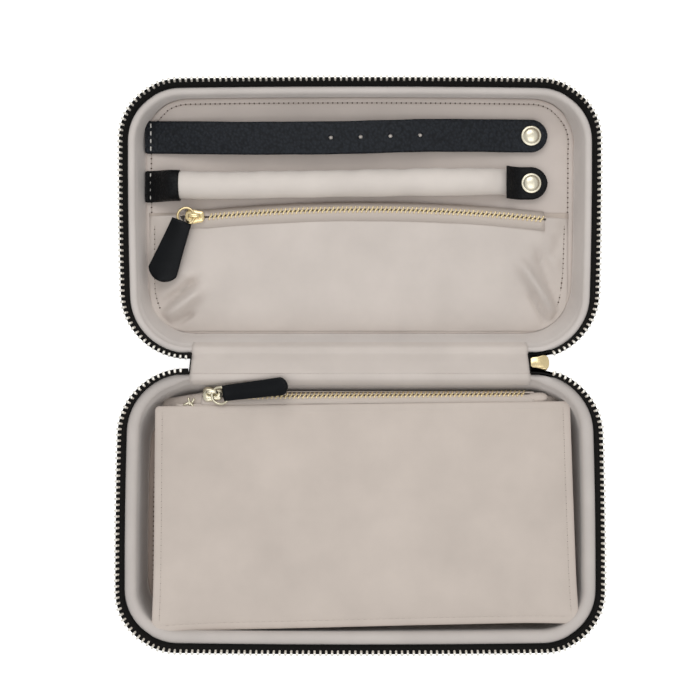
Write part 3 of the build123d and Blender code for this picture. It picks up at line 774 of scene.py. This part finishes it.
def tongue(name, seat, yaw, length, neck, tail, body, node, curl=0.0, start=2.2, aside=0.0):
    """Leather pull, slightly padded, a little thicker at its neck by the ring."""
    seat = seat.moved(x=3.8).turned(about_z=yaw).moved(y=aside)
    sag = tail / 3
    radius = (sag ** 2 + (tail / 2) ** 2) / (2 * sag)
    shoulder = length - sag
    stations = spaced(0, shoulder, 22) + [
        shoulder + sag * sin(radians(a)) for a in (12, 25, 40, 55, 68, 78, 85, 89)]
    rows = []
    for s in stations:
        if s <= shoulder:
            half_width = neck / 2 + (tail - neck) / 2 * (s / shoulder) ** 1.2
        else:
            half_width = sqrt(max(radius ** 2 - (radius - sag + s - shoulder) ** 2, 0.04))
        half_height = 0.85 + 0.25 * exp(-(s / 2.5) ** 2)
        bend = curl * (s / length) ** 2
        rows.append([seat.at(start + s, y, z + bend)
                     for y, z in rounded_section(half_width, half_height, 0.7, 0.8)])
    solid(name, rows, pull_leather, body, node)


main_seat = Seat((80.1, 0, 24), (-1, 0, 0), (0, -sin(radians(15)),
                                             -cos(radians(15))))
slider("main_zip_slider", main_seat, 8.2, gold, "spine", "main_slider")
main_pull = main_seat.moved(z=3.7).turned(about_y=-50)
wire_ring("main_ring", main_pull, gold, "main_pull", "main_pull_ring")
tongue("main_tongue", main_pull, 0, 19.5, 7.6, 8.6, "main_pull", "main_pull_leather")

pocket_seat = Seat((-75.5, 67.0, 9.2), (1, 0, 0), (0, 0, 1))
slider("pocket_zip_slider", pocket_seat, 8.6, gold, "pocket_slide", "pocket_slider")
pocket_pull = Seat((-75.5, 67.0, 12.9), (-1, 0, 0), (0, 0, 1))
wire_ring("pocket_ring", pocket_pull, gold, "pocket_pull", "pocket_pull_ring")
tongue("pocket_tongue", pocket_pull, 69, 29.4, 9.4, 13.8, "pocket_pull", "pocket_pull_leather",
       curl=-0.6, start=2.6, aside=-0.9)

pouch_seat = Seat((-66.0, -14.2, 21.8), (1, 0, 0), (0, 0, 1)).turned(about_x=-18)
slider("pouch_zip_slider", pouch_seat, 8.6, pale_gold, "pouch_slide", "pouch_slider")
pouch_pull = Seat((-66.0, -14.2, 25.5), (1, 0, 0), (0, 0, 1)).turned(about_x=8)
pouch_pull = pouch_pull.turned(about_y=-9)
wire_ring("pouch_ring", pouch_pull, pale_gold, "pouch_pull", "pouch_pull_ring")
tongue("pouch_tongue", pouch_pull.moved(y=0.8), 8.5, 29.5, 7.2, 8.2, "pouch_pull",
       "pouch_pull_leather", start=1.6)


# Snap fasteners, on the strap and on the roll's tab
snap_x, strap_y, roll_y = 78.8, 104.4, 82.6


def lathe(name, x, y, profile, material, body, node=None, turns=40):
    rows = [[Vector((x + r * c, y + r * s, z)) for c, s in circle(turns)] for r, z in profile]
    return solid(name, rows, material, body, node)


for body, y, top in (("strap", strap_y, 8.35), ("roll", roll_y, 8.55)):
    cap = [(1.7, -3.2), (1.7, -0.1), (4.35, -0.05), (4.6, 0.12), (4.62, 0.35), (4.45, 0.55),
           (4.1, 0.6), (3.85, 0.55), (3.6, 0.75), (3.2, 1.15), (2.6, 1.45), (1.8, 1.68),
           (0.9, 1.79), (0.1, 1.8)]
    lathe(f"{body}_cap", snap_x, y, [(r, top + z) for r, z in cap], cap_gold, body,
          f"{body}_snap_cap")
for body, y in (("strap", strap_y), ("roll", roll_y)):
    lathe(f"{body}_socket", snap_x, y, [(4.2, 4.5), (4.2, 5.6), (3.9, 6.0), (2.9, 6.05),
                                        (2.5, 5.8), (2.35, 5.0), (2.3, 4.5)],
          gold, "lid", f"{body}_snap_socket", 32)


# Earring strap
def strap_stations(left, first, right, half_width, count):
    """Places along a strap, closer together at its rounded right end."""
    return [left, left + 0.3, left + 0.9] + spaced(left + first, right - half_width, count) + [
        right - half_width + half_width * sin(radians(a))
        for a in (8, 16, 25, 34, 44, 54, 63, 71, 78, 84, 88.5)]


def end_width(x, right, half_width):
    past = x - right + half_width
    return sqrt(max(half_width ** 2 - past ** 2, 0.02)) if past > 0 else half_width


strap_middle = [(-98.9, 104.1), (-75, 103.5), (-50, 102.95), (-13, 103.05), (14, 103.8),
                (33, 104.4), (60, 104.6), (86.4, 104.5)]
strap_height = [(-98.9, 4.9), (-94, 5.0), (-70, 8.0), (-40, 9.9), (-10, 10.0), (20, 9.4),
                (50, 7.4), (69, 6.15), (86.4, 6.1)]
left, right, half_width, half_height = -98.9, 86.4, 7.55, 1.02
rows = []
for x in strap_stations(left, 2, right, half_width, 110):
    w = end_width(x, right, half_width)
    if x < left + 0.9:
        w = half_width - (left + 0.9 - x) * 0.5
    w += softened((x, 1, 2), 0.12, 0.08)
    y0, z0 = curve_at(strap_middle, x), curve_at(strap_height, x)
    rows.append([Vector((x, y0 + y, z0 + half_height + z + softened((x, y, 3), 0.14, 0.09)))
                 for y, z in rounded_section(w, half_height, 0.22, 0.95)])
strap = solid("strap_band", rows, strap_leather)
holes = [(x, curve_at(strap_middle, x)) for x in (-13.2, 0.4, 14.0, 27.6)]
drill = join([lathe(f"drill_{k}", x, y, [(0.95, 2.0), (0.95, 16.0)], strap_edge,
                    None, turns=16) for k, (x, y) in enumerate(holes)], "drill")
bore = strap.modifiers.new("holes", "BOOLEAN")
bore.object = drill
bore.operation = "DIFFERENCE"
bore.solver = "EXACT"
finished(strap)
bpy.data.objects.remove(drill)
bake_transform(strap)
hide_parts("earring_strap")
for k, (x, y) in enumerate(holes):
    low = curve_at(strap_height, x)
    lathe(f"hole_backing_{k}", x, y, [(0.94, low + 0.4), (0.94, low + 1.6)], roll_cloth,
          "strap", turns=16)
for name, y0, reach, z in (("strap_stitches", 104.0, 7.0, 7.3),
                           ("sleeve_stitches", 81.3, 6.8, 7.5)):
    stitches(name, [Vector((-96.2, y0 + y, z)) for y in spaced(-reach, reach, 12)],
             *leather_stitch, "black_leather", "lid")

# Ring roll, pressed flat towards its tab
roll_middle = [(-82, 81.2), (-30, 81.7), (30, 82.7), (69, 83.2)]
roll_low = 4.95
rows = []
for x in spaced(-84.5, 69.0, 120):
    flat = 1.0 - 0.5 * clamped((x - 54) / 13) ** 1.6
    radius = 6.15 + 0.1 * sin(x * 0.07)
    row = []
    for c, s in circle(36):
        r = radius + softened((x * 0.8, c * 6, s * 6), 0.38, 0.09)
        r += 0.12 * sin(x * 0.55 + 2 * s) * max(0, c)
        row.append(Vector((x, curve_at(roll_middle, x) + c * r,
                           max(roll_low + (radius + s * r) * flat, roll_low))))
    rows.append(row)
roll = solid("roll_pad", rows, roll_cloth, "roll")
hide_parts("ring_roll", "ring_roll_core")

# leather sleeve, from a flat sewn end to the round of the roll
sleeve_y, sleeve_low = 81.25, 4.72
rows = []
for x in [-98.8, -98.6] + spaced(-98, -82.2, 26):
    t = (x + 98.8) / 16.6
    half_width = 7.3 - 0.25 * t - (0 if x > -98.6 else 0.2)
    height = 2.4 + 10.5 * (0.5 - 0.5 * cos(pi * min(t * 1.15, 1))) ** 1.1
    power = 0.45 + 0.55 * t
    rows.append([Vector((x, sleeve_y + copysign(abs(c) ** power, c) * half_width,
                         sleeve_low + (1 + copysign(abs(s) ** power, s)) * height / 2))
                 for c, s in circle(40)])
axis = Vector((-82.2, sleeve_y, sleeve_low + 6.4))
open_end = rows[-1]
for shrink in (0.975, 0.95):
    rows.append([axis + (p - axis) * shrink for p in open_end])
sleeve = solid("roll_sleeve_leather", rows, sleeve_leather)
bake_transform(sleeve)
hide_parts("roll_sleeve")

left, right, half_width, half_height = 67.0, 86.4, 7.5, 1.05
rows = []
for x in strap_stations(left, 1.6, right, half_width, 16):
    low = 6.25 + 5.2 * clamped((74.5 - x) / 7.5) ** 1.6
    rows.append([Vector((x, 82.7 + y, low + half_height + z + softened((x, y, 8), 0.1, 0.1)))
                 for y, z in rounded_section(end_width(x, right, half_width), half_height, 0.25,
                                             0.95)])
solid("roll_tab_leather", rows, sleeve_leather, "roll", "roll_tab")


# Small zippers
small_pitch = 2.0
# One small tooth across the chain, as (place, half width, half height)
small_tooth = ((-0.32, 0.3, 0.45), (-0.15, 0.44, 0.62), (0.4, 0.48, 0.66), (0.6, 0.42, 0.62),
               (1.3, 0.48, 0.8), (1.5, 0.36, 0.66))


def small_chain(name, seat_at, start, length, body, node):
    """Two rows of leaning teeth in step by half a pitch; seat_at gives a seat at an x."""
    verts, faces = [], []
    for row, sign in enumerate((-1, 1)):
        for n in range(int(length / small_pitch)):
            seat = seat_at(start + (n + row / 2 + 0.25) * small_pitch)
            add_bar(verts, faces, [[seat.at(cx * hx + 0.3 * sign * (y - 0.9), sign * y, cz * hz)
                                    for cx, cz in boxy(8, 1.25, 0.5)]
                                   for y, hx, hz in small_tooth])
    teeth = build(name, verts, faces, chain_gold, body)
    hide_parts(node)


def small_tapes(name, seat_at, start, end, widths, body, node, materials, fold):
    """The two tapes with corded inner edges; the upper one's outer part is folded down."""
    inner = 0.75
    turn = radians(fold)
    pieces = []
    for sign, width, material in zip((-1, 1), widths, materials):
        outer = 2.15 + width
        section = [(0.4, -0.26), (inner, -0.34), (inner + 0.5, -0.42), (inner + 1.1, -0.25),
                   (outer, -0.22), (outer, 0.22), (inner + 1.1, 0.25), (inner + 0.5, 0.42),
                   (inner, 0.34), (0.4, 0.26)]
        if sign > 0:
            section = [(inner + (y - inner) * cos(turn) + z * sin(turn),
                        z * cos(turn) - (y - inner) * sin(turn))
                       if y > inner else (y, z) for y, z in section]
        rows = [[seat_at(x).at(0, sign * y, z) for y, z in section]
                for x in spaced(start, end, 100)]
        pieces.append(solid(name + "_half", rows, material, uv=True))
    made = join(pieces, name)
    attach(made, body)
    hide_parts(node)


# Pocket: its upper edge bows out with the chain, so the chain follows an arc
chain_left, pocket_chain = -69.5, 154.0
tape_left, tape_right = -80.5, 84.9
pocket_left, pocket_right, pocket_low, pocket_corner = -97.2, 96.4, 14.4, 18.5


def pocket_seat_at(x):
    t = (x - chain_left) / pocket_chain
    inside = 0 < t < 1
    bow = 3.6 * (1 - (2 * t - 1) ** 2) if inside else 0.0
    slope = -(14.4 * (2 * t - 1) + 3.2) / pocket_chain if inside else 0.0
    tilt = -1.12 * t * max(t, 0)
    rise = 0.8 * sin(pi * clamped(t))
    return Seat((x, 67.0 + bow + tilt, 9.2 + rise), (1, slope, 0), (0, 0, 1))


def near_chain(x):
    return pocket_seat_at(clamped(x, tape_left, 87.5))


small_chain("pocket_teeth", pocket_seat_at, chain_left, pocket_chain, "lid", "pocket_zip_teeth")
# the upper tape gets the darker tape, painted shade of the roll
small_tapes("pocket_tape", pocket_seat_at, tape_left, tape_right, (3.0, 2.6), "lid",
            "pocket_zip_tape", (beige_tape, upper_tape_painted_shade), 42)


def ridge(x, y, x0, y0, x1, y1, height, width, fade=0.25):
    """Height of a soft fold along a line, fading past both its ends."""
    along_x, along_y = x1 - x0, y1 - y0
    length = hypot(along_x, along_y)
    t = ((x - x0) * along_x + (y - y0) * along_y) / length ** 2
    off = ((x - x0) * along_y - (y - y0) * along_x) / length
    past = max(-t, t - 1, 0)
    return height * exp(-(past / fade) ** 2 - (off / width) ** 2)


# Folds of the pocket, as (from x, y, to x, y, height, width, fade)
pocket_folds = ((-90.0, 20.2, -76.5, 30.2, 5.8, 2.9, 0.32),
                (-92.5, 25.6, -78.5, 36.0, -4.2, 2.0, 0.25),
                (-87.5, 16.6, -79, 21.6, -3.6, 1.4, 0.3), (90.3, 20.6, 77.0, 40.5, 5.8, 2.9, 0.3),
                (94.4, 23.5, 85.0, 45.5, -4.4, 2.9, 0.3), (86.6, 18.6, 79.8, 30.0, -3.4, 1.6, 0.3),
                (93.0, 57, 90, 50, -1.6, 3.0), (-94.0, 46, -80, 41, 0.8, 3.0),
                (-60, 24, 40, 27, 0.35, 6.0), (-30, 45, 20, 38, 0.3, 7.0))


def past_tape(x):
    """0 beside the zipper's tape, 1 past its ends."""
    return clamped(max((x - 83.4) / 2.2, (-79.0 - x) / 4))


def pocket_top(x):
    return near_chain(x).at(0, -4.6 + 5.4 * past_tape(x), 0).y


def pocket_edge_distance(x, y):
    """Distance in from the sewn left, right and lower edges, with rounded lower corners."""
    dx = min(x - pocket_left, pocket_right - x) - 2.6
    dy = y - pocket_low
    if max(dx, dy) < pocket_corner:
        return pocket_corner - hypot(pocket_corner - dx, pocket_corner - dy)
    return min(dx, dy)


def pocket_height_at(x, y):
    d = max(pocket_edge_distance(x, y), 0.0)
    below_top = max(pocket_top(x) - y, 0)
    lift = near_chain(x).o.z - 0.1
    inside = clamped((x + 97.0) / 18) * clamped((96.2 - x) / 14)
    edge = exp(-below_top / 7.0)
    z = 4.85 + 5.0 * (1 - exp(-d / 8.5))
    z = z * (1 - edge) + edge * (4.9 + (lift - 4.9) * inside ** 0.6)
    z += sum(ridge(x, y, *fold) for fold in pocket_folds) * (1 - exp(-d / 2.2))
    z += softened((x, y, 0), 0.45, 0.03) + softened((x, y, 9), 0.2, 0.09)
    z += 0.7 * past_tape(x) * inside * exp(-below_top / 4.0)
    return max(z, 4.9)


rows = []
for v in spaced(0, 1, 64):
    row = []
    for x in spaced(pocket_left, pocket_right, 150):
        short = max(pocket_corner - min(x - pocket_left, pocket_right - x), 0)
        low = pocket_low + pocket_corner - sqrt(max(pocket_corner ** 2 - short ** 2, 0))
        y = low + (pocket_top(x) - low) * v
        row.append(Vector((x, y, pocket_height_at(x, y))))
    rows.append(row)
rows.append([Vector((p.x, p.y + 0.15, p.z - 0.5)) for p in rows[-1]])
pocket = cloth("pocket_front", rows, pocket_cloth, 0.6, "lid", "pocket")
for name, seam in (("left", ((-94.6, 64), (-94.6, 38), (-93.7, 30), (-92.4, 25.5))),
                   ("right", ((94.5, 64), (94.0, 46), (93.3, 37), (92.4, 30), (91.0, 26)))):
    line = [Vector((p.x, p.y, pocket_height_at(p.x, p.y) - 0.02))
            for p in smooth_path([(x, y, 0) for x, y in seam], 12)]
    stitches(f"pocket_stitches_{name}", line, *lining_stitch, "pocket", "lid")

# backing of the pocket, sewn to the panel above the chain; its darker suede is painted shade of
# the roll above it
rows = []
for u in spaced(0, 1, 90):
    x = -97.3 + 193.8 * u
    seat = near_chain(x)
    low_y = seat.at(0, 1.7 - past_tape(x), 0).y
    top_y = max(69.3 + 0.2 * sin(u * 9), low_y + 1.2)
    rise = (seat.o.z - 5.3) * clamped((x + 97.3) / 16) * clamped((96.5 - x) / 12)
    rise *= 1 + 0.12 * past_tape(x)
    rows.append([Vector((x, low_y + (top_y - low_y) * t, 5.0 + rise * (1 - t) ** 1.3))
                 for t in spaced(0, 1, 7)])
backing = cloth("pocket_backing", rows, backing_cloth_painted_shade, 0.5, "lid")
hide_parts("pocket_welt")


# Pouch: a front board with turned edges, soft sides that fold in, a back board and a zipper
pouch_corners = [Vector(p) for p in ((-92.5, -119.8), (97.3, -115.4), (93.9, -16.8),
                                     (-91.6, -19.1))]
pouch_width, pouch_depth = 188.0, 99.8
board_z, seam_inset = 24.3, 3.35


def quad_point(u, v, inset=0.0):
    """Point of the pouch's outline quad, u across and v from the far side to the zipper side."""
    far_left, far_right, near_right, near_left = pouch_corners
    u = (inset + u * (pouch_width - 2 * inset)) / pouch_width
    v = (inset + v * (pouch_depth - 2 * inset)) / pouch_depth
    return far_left.lerp(far_right, u).lerp(near_left.lerp(near_right, u), v)


def board_outline(inset, far_radius, near_radius):
    """Points round the quad with rounded corners, anticlockwise from the far left corner."""
    spots = [quad_point(u, v, inset) for u, v in ((0, 0), (1, 0), (1, 1), (0, 1))]
    radii = [max(radius - inset, 0.6) for radius in
             (far_radius, far_radius, near_radius, near_radius)]
    points = []
    for k, count in enumerate((46, 26, 46, 26)):
        here, after = spots[k], spots[(k + 1) % 4]
        back, on = (spots[k - 1] - here).normalized(), (after - here).normalized()
        first, last = here + back * radii[k], here + on * radii[k]
        points += [first.lerp(here, t).lerp(here.lerp(last, t), t) for t in spaced(0, 1, 9)]
        end = after - on * radii[(k + 1) % 4]
        points += [last.lerp(end, i / count) for i in range(1, count)]
    return points


def board_height(p):
    """Rise of the front board over its plane: soft warps, and far corners up on the rim."""
    z = softened((p.x, p.y, 2), 0.5, 0.014) + softened((p.x, p.y, 5), 0.18, 0.05)
    for cx, cy, height, reach in ((-92.6, -118.6, 4.2, 15.0), (96.6, -116.4, 3.6, 14.0)):
        z += height * exp(-(hypot(p.x - cx, p.y - cy) / reach) ** 2)
    return z


def on_board(p, rise=0.0):
    return Vector((p.x, p.y, board_z + rise + board_height(p)))


levels = [(0.9, -1.35), (0.5, -1.3), (0.15, -1.1), (0.0, -0.7), (0.1, -0.3), (0.5, -0.02),
          (1.3, 0.1), (2.3, 0.12), (2.9, 0.06), (seam_inset, -0.06), (3.7, 0.02), (4.5, 0.14),
          (7.0, 0.16), (12, 0.12), (20, 0.12), (30, 0.12), (40, 0.12), (47, 0.12)]
rows = [[on_board(p, rise) for p in board_outline(inset, 2.8, 2.2)] for inset, rise in levels]
front = solid("pouch_front", rows, pouch_cloth, "pouch", "pouch_front_panel",
              cap_first=False)
side_seam = seam_inset / pouch_width
for name, u in (("left", side_seam), ("right", 1 - side_seam)):
    line = [on_board(quad_point(u, v)) for v in spaced(0.05, 0.97, 60)]
    stitches(f"pouch_stitches_{name}", line, *pouch_stitch, "pouch", "pouch")
line = [on_board(quad_point(u, seam_inset / pouch_depth)) for u in spaced(0.03, 0.97, 110)]
stitches("pouch_stitches_far", line, *fine_stitch, "pouch", "pouch")

# soft sides: a wall that folds in like a bellows on three sides
middle = Vector((1.5, -67.5))
rows = []
for t in spaced(0, 1, 15):
    fold = 3.4 * sin(pi * t) ** 1.2 + 0.35 * sin(pi * 5 * t)
    inset = 6.2 * (1 - t) + 1.6 * t + fold
    row = []
    for p in board_outline(inset, 12.0 - 4 * t, 8.0):
        ripple = 0.45 * sin(p.x * 0.21 + p.y * 0.17) * sin(pi * t)
        q = p + (middle - p).normalized() * ripple
        row.append(Vector((q.x, min(q.y, -24.0), 6.2 + 16.7 * t + 0.5 * t * board_height(p))))
    rows.append(row)
sides = cloth("pouch_sides", rows, pouch_cloth, 0.7, "pouch", "pouch_gusset",
              close_rows=True)

solid("pouch_back", [[Vector((p.x, p.y, z)) for p in board_outline(inset, 13.0, 9.0)]
                     for inset, z in ((6.6, 5.0), (5.8, 5.25), (5.6, 5.7), (5.8, 6.1),
                                      (6.6, 6.35), (20, 6.35), (40, 6.35))],
      pouch_cloth, "pouch", "pouch_back_panel")


def pouch_seat_at(x):
    y = -14.9 + 1.2 * clamped((x + 60) / 134)
    return Seat((x, y, 21.8), (1, 0.009, 0), (0, 0, 1)).turned(about_x=-28)


small_chain("pouch_teeth", pouch_seat_at, -60, 134, "pouch", "pouch_zip_teeth")
small_tapes("pouch_tape", pouch_seat_at, -71, 78, (1.8, 1.2), "pouch", "pouch_zip_tape",
            (beige_tape, beige_tape), 60)

# the zipper side: cloth from under the front board, and from the back tape to the back board
rows = []
for x in spaced(-82, 84.5, 90):
    near_y = pouch_seat_at(x).o.y
    rows.append([Vector((x, near_y + dy, z + softened((x, near_y + dy, 4), 0.25, 0.1)))
                 for dy, z in ((-5.2, 23.3), (-4.2, 23.5), (-3.2, 23.4))])
flap = cloth("pouch_zip_flap", rows, pouch_cloth, 0.6, "pouch")
rows = []
for x in spaced(-79, 82, 100):
    outside = 1 - clamped((x + 79) / 10) * clamped((82 - x) / 8)
    row = []
    for y, z in ((-13.1, 19.6), (-13.2, 18.4), (-14.2, 16.6), (-17.5, 13.2), (-22.5, 9.8),
                 (-27.5, 7.0), (-30.2, 6.5)):
        up = (z - 6.5) / 14.8
        pleat = 0.3 * sin(x * 0.33 + y * 0.5) * sin(pi * up)
        row.append(Vector((x, y - outside * 6.5 * up, z + pleat)))
    rows.append(row)
wall = cloth("pouch_zip_wall", rows, pouch_cloth, 0.6, "pouch", "pouch_zip_gusset")

# cloth shoulders from the zipper's ends down to the pouch's near corners
for name, inner_x, outer_x in (("left", -70.0, -89.5), ("right", 80.0, 91.5)):
    rows = []
    for t in spaced(0, 1, 24):
        x = inner_x + (outer_x - inner_x) * t
        row = []
        for s in spaced(0, 1, 10):
            y = -20.4 + (7.4 - 3.2 * t) * s
            z = 22.6 - 6.5 * t ** 1.8 - 2.6 * s ** 3 - 0.6 * s + softened((x, y, 7), 0.6, 0.12)
            row.append(Vector((x, y, z)))
        rows.append(row)
    cloth(f"pouch_shoulder_{name}", rows, pouch_cloth, 0.6, "pouch")

# cloth lump over the chain's end, and bent metal stops at its start
rows = []
for s in (-1.0, -0.93, -0.8, -0.55, -0.2, 0.2, 0.55, 0.8, 0.93, 1.0):
    fat = max(1 - abs(s) ** 3.2, 0.02) ** 0.5
    rows.append([Vector((79.2 + 5.0 * s, -15.6 + 0.3 * s + 2.5 * fat * c,
                         21.4 + 1.9 * fat * up + softened((s * 9, q * 3, 1), 0.3, 0.3)))
                 for q, (c, up) in enumerate(circle(20))])
solid("pouch_end_lump", rows, pouch_cloth, "pouch")
for name, x, y, length, yaw in (("a", -76.4, -17.0, 3.6, 100), ("b", -77.6, -18.0, 3.0, 20),
                                ("c", -75.4, -18.2, 2.6, -40), ("d", -74.6, -16.6, 2.4, 60)):
    stop = Seat((x, y, 23.6), (1, 0, 0), (0, 0, 1)).turned(about_z=yaw)
    solid(f"pouch_stop_{name}", [[stop.at(share * length, fat * c, fat * s)
                                  for c, s in circle(8)] for share, fat in
                                 ((-0.5, 0.3), (-0.42, 0.55), (0.42, 0.55), (0.5, 0.3))],
          pale_gold, "pouch")

# The one CAD solid that is seen gets the tape's finish
end_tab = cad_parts["zip_end_tab"]
end_tab.data.materials.clear()
end_tab.data.materials.append(black_tape)


# Floor, light and camera, in metres
bpy.ops.mesh.primitive_plane_add(size=6)
floor = bpy.context.object
floor.name = "floor"
floor.location = (0, 0, -0.0004)
material, bsdf, where = shader("floor_white", Base_Color=(0.9, 0.9, 0.9, 1), Roughness=0.9,
                               Specular_IOR_Level=0.1)
tree = material.node_tree
glow = add_node(tree, "Emission", Strength=0.75)
lit = add_node(tree, "AddShader")
seen = add_node(tree, "MixShader", Fac=add_node(tree, "LightPath").outputs["Is Camera Ray"])
for source, target in ((bsdf, lit.inputs[0]), (glow, lit.inputs[1]), (bsdf, seen.inputs[1]),
                       (lit, seen.inputs[2]), (seen, tree.nodes["Material Output"].inputs[0])):
    tree.links.new(source.outputs[0], target)
floor.data.materials.append(material)


def area_light(name, location, size, power, colour):
    light = bpy.data.lights.new(name, "AREA")
    light.shape = "SQUARE"
    light.size = size
    light.energy = power
    light.color = colour
    made = added(name, light)
    made.location = location
    made.rotation_mode = "QUATERNION"
    made.rotation_quaternion = (-Vector(location)).to_track_quat("-Z", "Y")


area_light("key", (-0.1, 0.9, 1.15), 0.8, 4.2, (1.0, 0.985, 0.965))
area_light("fill", (0.1, -0.4, 1.35), 1.0, 3.9, (1.0, 0.99, 0.985))

world = bpy.data.worlds.new("studio")
bpy.context.scene.world = world
world.use_nodes = True
background = world.node_tree.nodes["Background"]
background.inputs["Color"].default_value = (1, 1, 1, 1)
background.inputs["Strength"].default_value = 0.68

camera_data = bpy.data.cameras.new("camera")
camera_data.lens = 62.86
camera_data.sensor_width = 36
camera_data.clip_start = 0.01
camera = added("camera", camera_data)
camera.location = (-0.00446, 0.006, 0.57)
bpy.context.scene.camera = camera
bpy.context.scene.view_settings.view_transform = "Standard"
